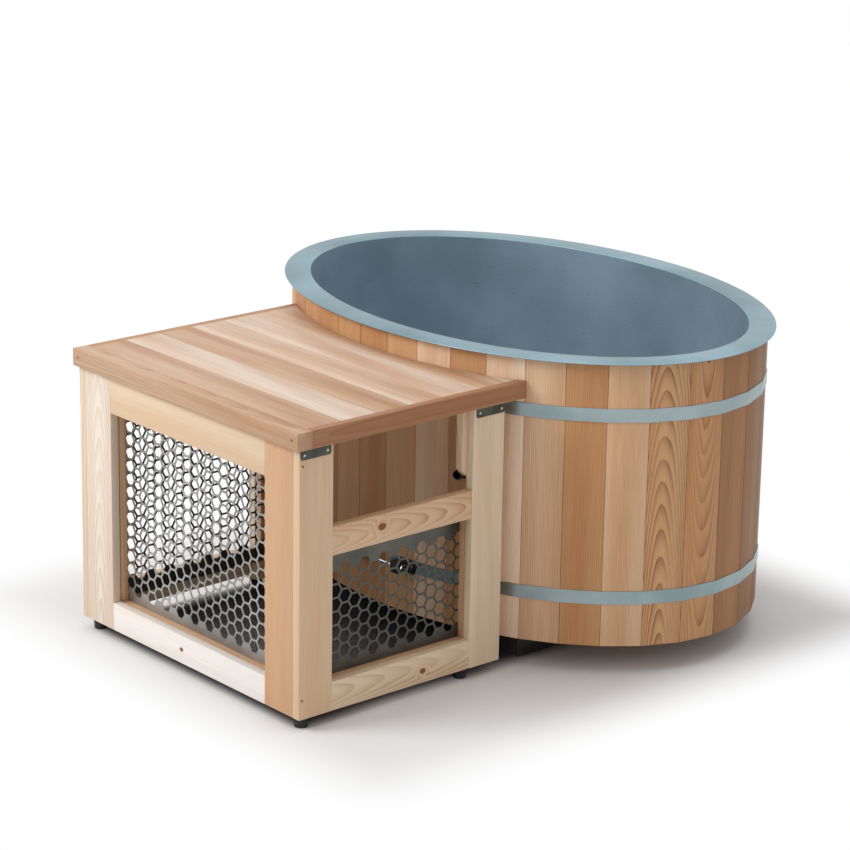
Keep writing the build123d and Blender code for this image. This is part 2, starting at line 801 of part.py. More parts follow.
def write_parts(parts):
    os.makedirs("parts", exist_ok=True)
    for name, shape in parts.items():
        solids = solids_of(shape)
        piece = solids[0] if len(solids) == 1 else Compound(children=solids)
        piece.label = name
        export_step(piece, f"parts/{name}.step")


write_parts(make_parts())
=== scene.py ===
import math
import random

import bmesh
import bpy
from mathutils import Euler, Matrix, Vector


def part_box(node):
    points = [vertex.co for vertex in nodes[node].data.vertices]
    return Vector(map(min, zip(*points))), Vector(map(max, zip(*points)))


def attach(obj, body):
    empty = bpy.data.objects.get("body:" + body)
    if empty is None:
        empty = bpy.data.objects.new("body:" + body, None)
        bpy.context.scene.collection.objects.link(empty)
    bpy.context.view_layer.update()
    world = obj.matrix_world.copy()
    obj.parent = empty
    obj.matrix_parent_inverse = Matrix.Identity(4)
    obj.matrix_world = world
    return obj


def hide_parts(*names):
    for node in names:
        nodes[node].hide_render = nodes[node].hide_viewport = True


# Cold plunge tub: staves, steel liner and hoops, with the boarded cabinet in front of it.
# Everything is in metres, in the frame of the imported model.

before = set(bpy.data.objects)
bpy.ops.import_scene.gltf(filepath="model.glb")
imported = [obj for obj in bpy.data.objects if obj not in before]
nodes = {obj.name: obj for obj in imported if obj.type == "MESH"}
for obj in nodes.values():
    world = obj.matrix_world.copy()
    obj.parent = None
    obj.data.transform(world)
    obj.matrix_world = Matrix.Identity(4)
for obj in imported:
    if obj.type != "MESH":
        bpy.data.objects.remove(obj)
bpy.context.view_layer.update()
scene = bpy.context.scene


def linear(red, green, blue):
    # a colour read off a screen, 0 to 255, as linear light
    def one(c):
        c = c / 255
        return c / 12.92 if c <= 0.04045 else ((c + 0.055) / 1.055) ** 2.4
    return (one(red), one(green), one(blue), 1.0)


# node helpers


class Graph:
    # short ways to add nodes to a shader tree or a geometry tree

    def __init__(self, tree):
        self.tree = tree

    def add(self, kind, feeds=None, **settings):
        node = self.tree.nodes.new(kind)
        for key, value in settings.items():
            setattr(node, key, value)
        for key, value in (feeds or {}).items():
            self.feed(node.inputs[key], value)
        return node

    def link(self, source, target):
        self.tree.links.new(source, target)

    def feed(self, socket, value):
        if isinstance(value, bpy.types.NodeSocket):
            self.link(value, socket)
        elif value is not None:
            socket.default_value = value

    def math(self, operation, a, b=None, c=None):
        node = self.add("ShaderNodeMath", operation=operation)
        for socket, value in zip(node.inputs, (a, b, c)):
            self.feed(socket, value)
        return node.outputs[0]

    def vector(self, operation, a, b=None):
        second = "Scale" if operation == "SCALE" else 1
        node = self.add("ShaderNodeVectorMath", {0: a, second: b}, operation=operation)
        return node.outputs["Value" if operation == "LENGTH" else "Vector"]

    def split(self, vector):
        return self.add("ShaderNodeSeparateXYZ", {0: vector}).outputs

    def join(self, x, y, z):
        return self.add("ShaderNodeCombineXYZ", {0: x, 1: y, 2: z}).outputs[0]

    def noise(self, vector, scale=1.0, detail=2.0, rough=0.5, distortion=0.0):
        feeds = {"Vector": vector, "Scale": scale, "Detail": detail, "Roughness": rough, "Distortion": distortion}
        return self.add("ShaderNodeTexNoise", feeds).outputs["Fac"]

    def ramp(self, factor, colours):
        # a colour ramp with even stops
        node = self.add("ShaderNodeValToRGB", {0: factor})
        ends = node.color_ramp.elements
        while len(ends) < len(colours):
            ends.new(0.5)
        for i, (end, colour) in enumerate(zip(ends, colours)):
            end.position = i / (len(colours) - 1)
            end.color = colour
        return node.outputs["Color"]

    def span(self, value, low, high, start=0.0, end=1.0, smooth=True):
        feeds = {"Value": value, "From Min": low, "From Max": high, "To Min": start, "To Max": end}
        ease = "SMOOTHSTEP" if smooth else "LINEAR"
        return self.add("ShaderNodeMapRange", feeds, interpolation_type=ease).outputs["Result"]

    def mix(self, factor, a, b, blend="MIX"):
        feeds = {"Factor": factor, 6: a, 7: b}
        return self.add("ShaderNodeMix", feeds, data_type="RGBA", blend_type=blend).outputs[2]

    def joinShapes(self, *shapes):
        node = self.add("GeometryNodeJoinGeometry")
        for shape in shapes:
            self.link(shape, node.inputs[0])
        return node.outputs[0]


def shaderGroup(name, inputs, outputs):
    # an empty shader group: inputs are label, kind and default, outputs are label and kind
    tree = bpy.data.node_groups.new(name, "ShaderNodeTree")
    kinds = {"value": "NodeSocketFloat", "vector": "NodeSocketVector"}
    for label, kind, default in inputs:
        tree.interface.new_socket(label, in_out="INPUT", socket_type=kinds[kind]).default_value = default
    for label, kind in outputs:
        tree.interface.new_socket(label, in_out="OUTPUT", socket_type=kinds[kind])
    graph = Graph(tree)
    return tree, graph, graph.add("NodeGroupInput").outputs, graph.add("NodeGroupOutput").inputs


def newMaterial(name):
    material = bpy.data.materials.new(name)
    material.use_nodes = True
    return material, Graph(material.node_tree), material.node_tree.nodes["Principled BSDF"]


def addSurface(g, shader, colour, rough, height, strength, distance):
    # colour, roughness and bump onto the shader
    bump = g.add("ShaderNodeBump", {"Strength": strength, "Distance": distance, "Height": height})
    for label, value in (("Base Color", colour), ("Roughness", rough), ("Normal", bump.outputs["Normal"])):
        g.link(value, shader.inputs[label])


# shared effects

# noise is stretched along the grain by these scales, in 1/m
grainValues = {"ring": 0.0052, "wobble": 0.010, "jitter": 0.0012, "knotPush": 0.011, "knotFall": -0.35,
               "lateCurve": 2.2, "lateEnd": 0.93, "slow": (1.1, 9.0, 9.0), "middling": (5.0, 40.0, 40.0),
               "strength": (0.7, 26.0, 26.0), "fibre": (7.0, 520.0, 520.0), "drift": (0.9, 14.0, 14.0)}


def buildGrainGroup():
    # growth rings round a pith line, fibres along it, and at most one knot on each board
    v = grainValues
    tree, g, given, out = shaderGroup(
        "woodGrain", [("Ring Width", "value", v["ring"]), ("Wobble", "value", v["wobble"])],
        [("Rings", "value"), ("Fibre", "value"), ("Drift", "value"), ("Knot", "value"), ("Tone", "vector"),
         ("Relief", "value")])
    place, tone, knotPlace = (g.add("ShaderNodeAttribute", attribute_name=name).outputs["Vector"]
                              for name in ("woodCo", "boardTone", "knotCo"))

    def stretched(name, detail, rough=0.5):
        return g.noise(g.vector("MULTIPLY", place, v[name]), detail=detail, rough=rough)

    knotDistance = g.vector("LENGTH", knotPlace)
    knotNear = g.math("MULTIPLY", g.math("MULTIPLY", knotDistance, knotDistance), v["knotFall"])
    slow = g.math("SUBTRACT", stretched("slow", 2.0), 0.5)
    middling = g.math("SUBTRACT", stretched("middling", 1.0), 0.5)
    parts = g.split(place)
    radius = g.math("SQRT", g.math("ADD", *[g.math("MULTIPLY", parts[i], parts[i]) for i in (1, 2)]))
    for push, amount in ((slow, given["Wobble"]), (middling, v["jitter"]),
                         (g.math("EXPONENT", knotNear), v["knotPush"])):
        radius = g.math("MULTIPLY_ADD", push, amount, radius)
    turn = g.math("FRACT", g.math("DIVIDE", radius, given["Ring Width"]))
    late = g.math("MULTIPLY", g.math("POWER", turn, v["lateCurve"]), g.span(turn, 1.0, v["lateEnd"]))
    rings = g.math("MULTIPLY", late, g.span(stretched("strength", 1.0), 0.3, 0.7, 0.35, 1.0))
    fibre = stretched("fibre", 2.0)
    knot = g.span(g.math("MULTIPLY_ADD", middling, 0.5, knotDistance), 1.15, 0.8)
    relief = g.math("ADD", g.math("MULTIPLY", rings, 0.5), g.math("MULTIPLY", fibre, 0.5))
    for socket, value in zip(out, (rings, fibre, stretched("drift", 3.0, 0.6), knot, tone, relief)):
        g.link(value, socket)
    return tree


grainGroup = buildGrainGroup()


def buildBrushGroup():
    # fine scratches and slow clouding of worked sheet metal
    tree, g, given, out = shaderGroup(
        "brushedSheet", [("Stretch", "vector", (60.0, 60.0, 900.0)), ("Cloud Scale", "value", 4.0)],
        [("Scratch", "value"), ("Cloud", "value")])
    place = g.add("ShaderNodeTexCoord").outputs["Object"]
    g.link(g.noise(g.vector("MULTIPLY", place, given["Stretch"]), detail=3.0, rough=0.7), out["Scratch"])
    g.link(g.noise(place, given["Cloud Scale"], 3.0), out["Cloud"])
    return tree


brushGroup = buildBrushGroup()
print("shared effects built")


# materials, by name, each with a slot listed in its values

finishes = {}

seamShade, seamDepth = (52, 32, 20), 0.85


def makeWood(name, values):
    # tones run from the palest board to the darkest; boardTone holds each board's tone, figure and seams
    material, g, shader = newMaterial(name)
    grain = g.add("ShaderNodeGroup", {"Ring Width": values["ring"], "Wobble": values["wobble"]},
                  node_tree=grainGroup).outputs
    tone = g.split(grain["Tone"])
    base = g.ramp(tone[0], [linear(*c) for c in values["tones"]])
    late = g.mix(1.0, base, linear(*values["late"]), "MULTIPLY")
    bold = g.span(tone[1], 0, 1, values["ringLow"], values["ringHigh"], False)
    colour = g.mix(g.math("MULTIPLY", grain["Rings"], bold), base, late)
    warm = g.mix(1.0, colour, linear(*values["warm"]), "MULTIPLY")
    colour = g.mix(g.span(grain["Drift"], 0.35, 0.7, 0.0, values["drift"]), colour, warm)
    fibre = g.span(grain["Fibre"], 0.25, 0.75, 1 - values["fibre"], 1 + values["fibre"], False)
    colour = g.mix(grain["Knot"], g.vector("SCALE", colour, fibre), linear(*values["knot"]))
    colour = g.mix(g.math("MULTIPLY", tone[2], seamDepth), colour, linear(*seamShade))
    rough = g.span(grain["Drift"], 0.2, 0.8, values["rough"] - 0.06, values["rough"] + 0.06)
    addSurface(g, shader, colour, rough, grain["Relief"], 0.35, values["relief"])
    shader.inputs["Specular IOR Level"].default_value = 0.35
    return material


woodValues = {
    "staveTimber": {
        "tones": [(250, 222, 194), (230, 186, 140), (214, 162, 112), (196, 142, 96), (150, 112, 76)],
        "late": (158, 102, 66), "warm": (232, 192, 154), "knot": (92, 52, 30), "ring": 0.0034, "wobble": 0.012,
        "ringLow": 0.26, "ringHigh": 0.98, "drift": 0.45, "fibre": 0.10, "rough": 0.55, "relief": 0.0004,
        "slot": "red_cedar"},
    "topTimber": {
        "tones": [(236, 222, 208), (228, 206, 186), (216, 188, 160), (202, 164, 130), (184, 142, 106),
                  (142, 106, 76)],
        "late": (184, 140, 104), "warm": (220, 184, 154), "knot": (110, 66, 42), "ring": 0.0036, "wobble": 0.016,
        "ringLow": 0.25, "ringHigh": 0.80, "drift": 0.75, "fibre": 0.09, "rough": 0.5, "relief": 0.0004,
        "slot": "red_cedar"},
    "frameTimber": {
        "tones": [(252, 246, 240), (242, 228, 210), (234, 212, 182), (226, 188, 150), (204, 158, 120)],
        "late": (196, 158, 120), "warm": (238, 214, 188), "knot": (140, 78, 46), "ring": 0.0038, "wobble": 0.010,
        "ringLow": 0.15, "ringHigh": 0.85, "drift": 0.45, "fibre": 0.06, "rough": 0.55, "relief": 0.0003,
        "slot": "pale_cedar"},
}

sheetRelief = 0.0001


def makeSheetMetal(name, values):
    material, g, shader = newMaterial(name)
    brush = g.add("ShaderNodeGroup", {"Stretch": values["stretch"], "Cloud Scale": values["clouds"]},
                  node_tree=brushGroup).outputs
    colour = g.mix(g.span(brush["Cloud"], 0.3, 0.7), linear(*values["dark"]), linear(*values["light"]))
    rough = g.span(brush["Scratch"], 0.3, 0.7, values["rough"] - 0.05, values["rough"] + 0.07)
    addSurface(g, shader, colour, rough, brush["Scratch"], 0.25, sheetRelief)
    shader.inputs["Metallic"].default_value = values["metal"]
    return material


metalValues = {
    "linerSteel": {"dark": (138, 158, 170), "light": (170, 190, 202), "rough": 0.32, "metal": 0.42,
                   "stretch": (40.0, 40.0, 700.0), "clouds": 3.0, "slot": "liner_steel"},
    "rimSteel": {"dark": (116, 144, 152), "light": (140, 168, 178), "rough": 0.38, "metal": 0.85,
                 "stretch": (300.0, 300.0, 40.0), "clouds": 4.0, "slot": "liner_steel"},
    "hoopSteel": {"dark": (132, 148, 150), "light": (158, 172, 174), "rough": 0.36, "metal": 0.9,
                  "stretch": (30.0, 30.0, 900.0), "clouds": 6.0, "slot": "hoop_steel"},
    "webSteel": {"dark": (150, 150, 148), "light": (176, 176, 174), "rough": 0.42, "metal": 0.8,
                 "stretch": (400.0, 400.0, 60.0), "clouds": 9.0, "slot": "perforated_steel"},
    # a darker copy of webSteel for the side sheets: painted shade, for the side faces that get less light
    "sideWebSteel": {"dark": (78, 78, 72), "light": (98, 98, 90), "rough": 0.40, "metal": 0.7,
                     "stretch": (400.0, 400.0, 60.0), "clouds": 9.0, "slot": "perforated_steel"},
    "boltSteel": {"dark": (176, 180, 184), "light": (214, 218, 222), "rough": 0.22, "metal": 1.0,
                  "stretch": (500.0, 500.0, 500.0), "clouds": 30.0, "slot": "bolt_steel"},
    # heads of the wood screws, painted the dark brown of a shaded countersunk hole: painted shade
    "sunkSteel": {"dark": (70, 44, 30), "light": (96, 64, 46), "rough": 0.5, "metal": 0.3,
                  "stretch": (500.0, 500.0, 500.0), "clouds": 60.0, "slot": "bolt_steel"},
    "plateSteel": {"dark": (58, 64, 52), "light": (84, 90, 78), "rough": 0.5, "metal": 0.4,
                   "stretch": (200.0, 200.0, 200.0), "clouds": 30.0, "slot": "bracket_steel"},
}


def makeCoated(name, values):
    # moulded plastic, casting paint or powder coat: fine pebble and paler clouds
    material, g, shader = newMaterial(name)
    place = g.add("ShaderNodeTexCoord").outputs["Object"]
    cloud = g.noise(place, 18.0, 3.0)
    colour = g.mix(g.span(cloud, 0.35, 0.75), linear(*values["dark"]), linear(*values["light"]))
    rough = g.span(cloud, 0.2, 0.8, values["rough"] - 0.08, values["rough"] + 0.08)
    addSurface(g, shader, colour, rough, g.noise(place, values["pebble"], 2.0), 0.3, 0.0002)
    return material


coatedValues = {
    "blackPlastic": {"dark": (18, 20, 22), "light": (32, 35, 38), "rough": 0.42, "pebble": 900.0,
                     "slot": "black_plastic"},
    "blackCasting": {"dark": (20, 20, 20), "light": (34, 34, 33), "rough": 0.45, "pebble": 500.0,
                     "slot": "black_casting"},
    "blackCoat": {"dark": (34, 34, 33), "light": (48, 47, 45), "rough": 0.55, "pebble": 700.0,
                  "slot": "black_steel"},
}

for make, table in ((makeWood, woodValues), (makeSheetMetal, metalValues), (makeCoated, coatedValues)):
    for name, values in table.items():
        finishes[name] = make(name, values)


floorTimberValues = {"pale": (196, 158, 116), "dark": (156, 116, 80), "fibre": (4.0, 260.0, 260.0),
                     "bands": (1.2, 34.0, 34.0), "relief": 0.0004}


def makeFloorTimber():
    # rough floor timber whose grain runs along X
    v = floorTimberValues
    material, g, shader = newMaterial("floorTimber")
    place = g.add("ShaderNodeTexCoord").outputs["Object"]
    fibre = g.noise(g.vector("MULTIPLY", place, v["fibre"]), detail=3.0)
    bands = g.noise(g.vector("MULTIPLY", place, v["bands"]), detail=3.0, distortion=0.6)
    colour = g.mix(g.span(bands, 0.3, 0.7), linear(*v["pale"]), linear(*v["dark"]))
    colour = g.vector("SCALE", colour, g.span(fibre, 0.2, 0.8, 0.86, 1.1, False))
    addSurface(g, shader, colour, g.span(fibre, 0.2, 0.8, 0.6, 0.75), fibre, 0.4, v["relief"])
    return material


floorTimber = makeFloorTimber()
print("materials built")


# mesh helpers


def weldedCopy(nodeName, angle=1.0):
    # a welded copy of a node's loose triangles, with its flat faces joined up again
    mesh = bmesh.new()
    mesh.from_mesh(nodes[nodeName].data)
    bmesh.ops.remove_doubles(mesh, verts=mesh.verts, dist=2e-5)
    bmesh.ops.dissolve_limit(mesh, angle_limit=math.radians(angle), verts=mesh.verts, edges=mesh.edges)
    return mesh


def easeEdges(mesh, width, segments=2, angle=25.0):
    sharp = [e for e in mesh.edges if len(e.link_faces) == 2 and e.calc_face_angle(0) > math.radians(angle)]
    bmesh.ops.bevel(mesh, geom=sharp, offset=width, offset_type="OFFSET", segments=segments, profile=0.5,
                    affect="EDGES", clamp_overlap=True)


def islands(mesh):
    # groups of joined vertices, one for each loose solid
    left = set(mesh.verts)
    groups = []
    while left:
        start = left.pop()
        group, edge = {start}, [start]
        while edge:
            vert = edge.pop()
            for e in vert.link_edges:
                other = e.other_vert(vert)
                if other in left:
                    left.discard(other)
                    group.add(other)
                    edge.append(other)
        groups.append(group)
    return sorted(groups, key=lambda s: min(tuple(round(c, 4) for c in v.co) for v in s))


def grainLayers(mesh):
    for name in ("woodCo", "boardTone", "knotCo"):
        mesh.verts.layers.float_vector.new(name)


def setGrain(mesh, verts, values, along=None, face=None):
    # writes where each vertex lies in its log: x along the pith, y and z across it
    rng = random.Random(values["seed"])
    place, tone, knot = (mesh.verts.layers.float_vector[name] for name in ("woodCo", "boardTone", "knotCo"))
    verts = list(verts)
    low = Vector([min(v.co[i] for v in verts) for i in range(3)])
    high = Vector([max(v.co[i] for v in verts) for i in range(3)])
    middle, size = (low + high) / 2, high - low
    order = sorted(range(3), key=lambda i: size[i])
    axes = [Vector((i == 0, i == 1, i == 2)) for i in range(3)]
    along = along or axes[order[2]]
    face = face or axes[order[0]]
    across = face.cross(along).normalized()
    side = values.get("side", rng.uniform(0.06, 0.16) * rng.choice((-1, 1)))
    depth = values.get("depth", rng.uniform(0.02, 0.07))
    lean = values.get("lean", rng.uniform(-0.02, 0.02))
    rise = values.get("rise", rng.uniform(-0.03, 0.03))
    shift = rng.uniform(0, 40)
    look = (values.get("tone", rng.random()), values.get("figure", rng.random()))
    spot, seam = values.get("knot"), values.get("seam", 0)
    reach = max(abs((v.co - middle).dot(across)) for v in verts)
    for v in verts:
        d = v.co - middle
        u, s, w = d.dot(along), d.dot(across), d.dot(face)
        v[place] = (u + shift, s - side - lean * u, w + depth + rise * u)
        v[tone] = (*look, min(1, max(0, 1 - (reach - abs(s)) / seam)) if seam else 0)
        v[knot] = ((u - spot[0]) / spot[2], (s - spot[1]) / spot[2] * 1.3, 0) if spot else (50, 50, 0)


def camel(nodeName):
    first, *others = nodeName.split("_")
    return first + "".join(word.capitalize() for word in others)


def finishData(data, name, finish, body, replaced, smooth=None, slotName=None):
    if not data.materials:
        data.materials.append(finishes[finish])
    if smooth is not None:
        data.shade_smooth()
        data.set_sharp_from_angle(angle=math.radians(smooth))
    piece = bpy.data.objects.new(name, data)
    scene.collection.objects.link(piece)
    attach(piece, body)
    if replaced:
        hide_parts(*replaced)


def plainData(mesh, name):
    data = bpy.data.meshes.new(name)
    mesh.to_mesh(data)
    mesh.free()
    return data


def finishPiece(mesh, name, *settings, **options):
    finishData(plainData(mesh, name), name, *settings, **options)


def joinMeshes(target, other):
    data = plainData(other, "joined")
    target.from_mesh(data)
    bpy.data.meshes.remove(data)


def cutAway(mesh, cutter):
    # the mesh less the cutter, as plain mesh data
    holders = []
    for part, name in ((mesh, "cutPiece"), (cutter, "cutter")):
        holders.append(bpy.data.objects.new(name, plainData(part, name)))
        scene.collection.objects.link(holders[-1])
    modifier = holders[0].modifiers.new("cut", "BOOLEAN")
    modifier.operation, modifier.solver, modifier.object = "DIFFERENCE", "EXACT", holders[1]
    result = bpy.data.meshes.new_from_object(holders[0].evaluated_get(bpy.context.evaluated_depsgraph_get()))
    for holder in holders:
        bpy.data.objects.remove(holder)
    return result


def skin(mesh, rings, caps=True):
    # a skin from ring to ring of vertices, with a face over each end
    for lower, upper in zip(rings, rings[1:]):
        for i in range(len(lower)):
            j = (i + 1) % len(lower)
            mesh.faces.new((lower[i], lower[j], upper[j], upper[i]))
    if caps:
        mesh.faces.new(rings[0][::-1])
        mesh.faces.new(rings[-1])


def circle(count, radiusX, radiusY=None):
    # even points of a circle or an oval
    turns = [2 * math.pi * i / count for i in range(count)]
    return [(radiusX * math.cos(t), (radiusX if radiusY is None else radiusY) * math.sin(t)) for t in turns]


def ovalShell(profile, count, closed=False):
    # a skin through level ovals, each half length, half width and height
    mesh = bmesh.new()
    loops = [[mesh.verts.new((x, y, height)) for x, y in circle(count, semiX, semiY)]
             for semiX, semiY, height in profile]
    skin(mesh, loops + loops[:1] if closed else loops, caps=False)
    return mesh, loops


# staves

staveRing = {"length": 1.312, "width": 0.912, "count": 38, "thickness": 0.038, "bottom": 0.064, "top": 0.720,
             "ease": 0.0014, "grooveDepth": 0.008, "grooveBottom": 0.100, "grooveTop": 0.138}


def evenlySpaced(semiX, semiY, count, steps=7200):
    # points at even distances round an oval
    angles = [2 * math.pi * i / steps for i in range(steps + 1)]
    lengths = [0.0]
    for start, end in zip(angles, angles[1:]):
        middle = (start + end) / 2
        lengths.append(lengths[-1] + math.hypot(semiX * math.sin(middle), semiY * math.cos(middle)) * (end - start))
    points, i = [], 0
    for k in range(count):
        goal = lengths[-1] * k / count
        while lengths[i + 1] < goal:
            i += 1
        share = (goal - lengths[i]) / (lengths[i + 1] - lengths[i])
        angle = angles[i] + share * (angles[i + 1] - angles[i])
        points.append(Vector((semiX * math.cos(angle), semiY * math.sin(angle), 0)))
    return points


ringCorners = evenlySpaced(staveRing["length"] / 2, staveRing["width"] / 2, staveRing["count"])


def ringCorner(k):
    return ringCorners[k % len(ringCorners)]


def staveFacing(k):
    way = (ringCorner(k + 1) - ringCorner(k)).normalized()
    return Vector((way.y, -way.x, 0))


def staveMiddle(k):
    return (ringCorner(k) + ringCorner(k + 1)) / 2


def insetCorner(k, depth):
    a, b = staveFacing(k - 1), staveFacing(k)
    return ringCorner(k) - (a + b) * (depth / (1 + a.dot(b)))


# looks of the staves that face the camera: tone 0 pale to 1 dark, figure 0 plain to 1 bold; the darkest tones, on
# staves 0, 1 and 2 round the right end, are partly the wood's own tone and partly painted shade
flatSawn = {"side": 0.004, "depth": 0.045, "rise": 0.060, "lean": 0.004}
staveLooks = {
    22: {"tone": 0.10, "figure": 0.1}, 23: {"tone": 0.40, "figure": 0.5}, 24: {"tone": 0.55, "figure": 0.7},
    25: {"tone": 0.42, "figure": 0.5}, 26: {"tone": 0.50, "figure": 0.4}, 27: {"tone": 0.45, "figure": 0.2},
    28: {"tone": 0.55, "figure": 0.5}, 29: {"tone": 0.35, "figure": 0.3}, 30: {"tone": 0.05, "figure": 0.2},
    31: {"tone": 0.45, "figure": 0.6},
    32: {"tone": 0.0, "figure": 0.05}, 33: {"tone": 0.16, "figure": 0.75}, 34: {"tone": 0.50, "figure": 0.35},
    35: {"tone": 0.18, "figure": 0.05}, 36: {"tone": 0.36, "figure": 1.0, **flatSawn},
    37: {"tone": 0.46, "figure": 1.0, **flatSawn, "rise": -0.050, "side": -0.006}, 0: {"tone": 0.84, "figure": 0.5},
    1: {"tone": 0.94, "figure": 0.3}, 2: {"tone": 1.0, "figure": 0.2},
}


def buildStaves():
    v = staveRing
    mesh = bmesh.new()
    thick, groove = v["thickness"], v["thickness"] - v["grooveDepth"]
    outline = [(0, v["bottom"]), (thick, v["bottom"]), (thick, v["grooveBottom"]), (groove, v["grooveBottom"]),
               (groove, v["grooveTop"]), (thick, v["grooveTop"]), (thick, v["top"]), (0, v["top"])]
    for k in range(v["count"]):
        skin(mesh, [[mesh.verts.new(insetCorner(seam, d) + Vector((0, 0, z))) for d, z in outline]
                    for seam in (k, k + 1)])
    bmesh.ops.recalc_face_normals(mesh, faces=mesh.faces)
    sharp = [e for e in mesh.edges if e.calc_face_angle(0) > math.radians(40)]
    bmesh.ops.bevel(mesh, geom=sharp, offset=v["ease"], segments=2, profile=0.6, affect="EDGES", clamp_overlap=True)
    grainLayers(mesh)
    for group in islands(mesh):
        middle = sum((p.co for p in group), Vector()) / len(group)
        k = min(range(v["count"]), key=lambda n: (middle.xy - staveMiddle(n).xy).length)
        values = {"seed": 100 + k, "seam": v["ease"], **staveLooks.get(k, {})}
        setGrain(mesh, group, values, along=Vector((0, 0, 1)), face=staveFacing(k))
    finishPiece(mesh, "staveShell", "staveTimber", "tub", ["staves"], smooth=30)


buildStaves()
print("staves built")


# liner and rim

linerLook = {"segments": 192, "wall": 0.0015, "cornerRadius": 0.010, "outerCorner": 0.004, "wallSteps": 12,
             "cornerSteps": 6, "edge": 0.0009, "drainHole": 0.0243, "floorRings": (0.8, 0.6, 0.4, 0.2, 0.03)}


def buildLiner():
    # one closed sheet: down the inside, over the floor, and back up the outside
    v = linerLook
    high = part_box("liner_wall")[1]
    floorLow, floorTop = (corner.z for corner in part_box("liner_floor"))
    a, b, r = high.x - v["wall"], high.y - v["wall"], v["cornerRadius"]
    straight = high.z - floorTop - r
    inside = [(a, b, floorTop + r + straight * i / v["wallSteps"]) for i in range(v["wallSteps"], -1, -1)]
    for i in range(1, v["cornerSteps"] + 1):
        t = math.pi / 2 * i / v["cornerSteps"]
        inside.append((a - r + r * math.cos(t), b - r + r * math.cos(t), floorTop + r - r * math.sin(t)))
    inside += [((a - r) * share, (b - r) * share, floorTop) for share in v["floorRings"]]
    outside = [((a - r) * share, (b - r) * share, floorLow) for share in v["floorRings"][::-1]]
    c = v["outerCorner"]
    outside += [(high.x - c, high.y - c, floorLow), (high.x, high.y, floorLow + c), (high.x, high.y, high.z)]
    mesh, loops = ovalShell(inside, v["segments"])
    mesh.faces.new(loops[-1])
    shell, outer = ovalShell(outside, v["segments"])
    shell.faces.new(outer[0])
    joinMeshes(mesh, shell)
    bmesh.ops.remove_doubles(mesh, verts=mesh.verts, dist=1e-6)
    bmesh.ops.bridge_loops(mesh, edges=[e for e in mesh.edges if e.is_boundary])
    bmesh.ops.recalc_face_normals(mesh, faces=mesh.faces)
    drainLow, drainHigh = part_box("drain_body")
    centre = Matrix.Translation((*((drainLow + drainHigh) / 2).xy, floorTop))
    cutter = bmesh.new()
    bmesh.ops.create_cone(cutter, cap_ends=True, segments=64, radius1=v["drainHole"], radius2=v["drainHole"],
                          depth=0.01, matrix=centre)
    finishData(cutAway(mesh, cutter), "linerBowl", "linerSteel", "tub", ["liner_wall", "liner_floor"], smooth=40)


def buildRim():
    v = linerLook
    low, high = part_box("rim_flange")
    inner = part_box("liner_wall")[1] - Vector((v["wall"], v["wall"], 0))
    e, near, width = v["edge"], 0.3 * v["edge"], high.x - inner.x
    profile = [(0, low.z), (width - e, low.z), (width - near, low.z + near), (width, low.z + e),
               (width - near, high.z - near), (width - e, high.z), (width / 2, high.z), (e, high.z),
               (near, high.z - near), (0, high.z - e)]
    mesh = ovalShell([(inner.x + w, inner.y + w, z) for w, z in profile], v["segments"], closed=True)[0]
    bmesh.ops.recalc_face_normals(mesh, faces=mesh.faces)
    finishPiece(mesh, "rimFlange", "rimSteel", "tub", ["rim_flange"], smooth=50)


buildLiner()
buildRim()
print("liner and rim built")


# hoops


def buildHoop(nodeName):
    mesh = weldedCopy(nodeName, 0.2)
    easeEdges(mesh, 0.0005, 1, 40)
    finishPiece(mesh, camel(nodeName) + "Band", "hoopSteel", "tub", [nodeName], smooth=30)


buildHoop("upper_hoop")
buildHoop("lower_hoop")
print("hoops built")


# boards

boardEase = 0.0012
# the look of each board's grain; a knot is its place along and across the board, and its radius
boardLooks = {
    "front_right_stile": {"seed": 1, "tone": 0.84, "figure": 0.5},
    "front_left_stile": {"seed": 2, "tone": 0.22, "figure": 0.9, "side": 0.002, "depth": 0.06, "rise": 0.05},
    "front_top_rail": {"seed": 3, "tone": 0.52, "figure": 0.1},
    "front_bottom_rail": {"seed": 4, "tone": 0.0, "figure": 0.1, "knot": (-0.02, 0.0, 0.007)},
    "right_front_stile": {"seed": 5, "tone": 0.62, "figure": 0.2},
    "right_rear_stile": {"seed": 6, "tone": 0.46, "figure": 0.3},
    "right_mid_rail": {"seed": 7, "tone": 0.68, "figure": 1.0, "side": 0.0, "depth": 0.05, "rise": 0.07,
                       "knot": (-0.06, 0.004, 0.011)},
    "right_bottom_rail": {"seed": 8, "tone": 0.50, "figure": 0.9, "side": 0.01, "depth": 0.06, "rise": 0.05,
                          "knot": (0.06, -0.005, 0.008)},
    "left_front_stile": {"seed": 9, "tone": 0.3},
    "left_rear_stile": {"seed": 10, "tone": 0.4},
    "left_top_rail": {"seed": 11, "tone": 0.3},
    "left_bottom_rail": {"seed": 12, "tone": 0.4},
    "corner_posts": {"seed": 13, "tone": 0.6},
    "right_corner_block": {"seed": 14, "tone": 0.55},
    "foot_blocks": {"seed": 15, "tone": 0.6},
    "top_battens": {"seed": 16, "tone": 0.6},
}
topLooks = {
    "front_edging": {"seed": 31, "tone": 0.52, "figure": 0.8, "side": 0.01, "depth": 0.03, "rise": 0.03},
    "right_edging": {"seed": 32, "tone": 0.80, "figure": 0.9, "side": 0.0, "depth": 0.04},
    "left_edging": {"seed": 33, "tone": 0.5},
    "top_plank_1": {"seed": 41, "tone": 0.48, "figure": 0.6},
    "top_plank_2": {"seed": 42, "tone": 0.10, "figure": 0.4},
    "top_plank_3": {"seed": 43, "tone": 0.50, "figure": 0.8},
    "top_plank_4": {"seed": 44, "tone": 0.26, "figure": 0.5},
    "top_plank_5": {"seed": 45, "tone": 0.12, "figure": 0.5},
    "top_plank_6": {"seed": 46, "tone": 0.36, "figure": 0.5},
    "top_plank_7": {"seed": 47, "tone": 0.24, "figure": 0.4},
}

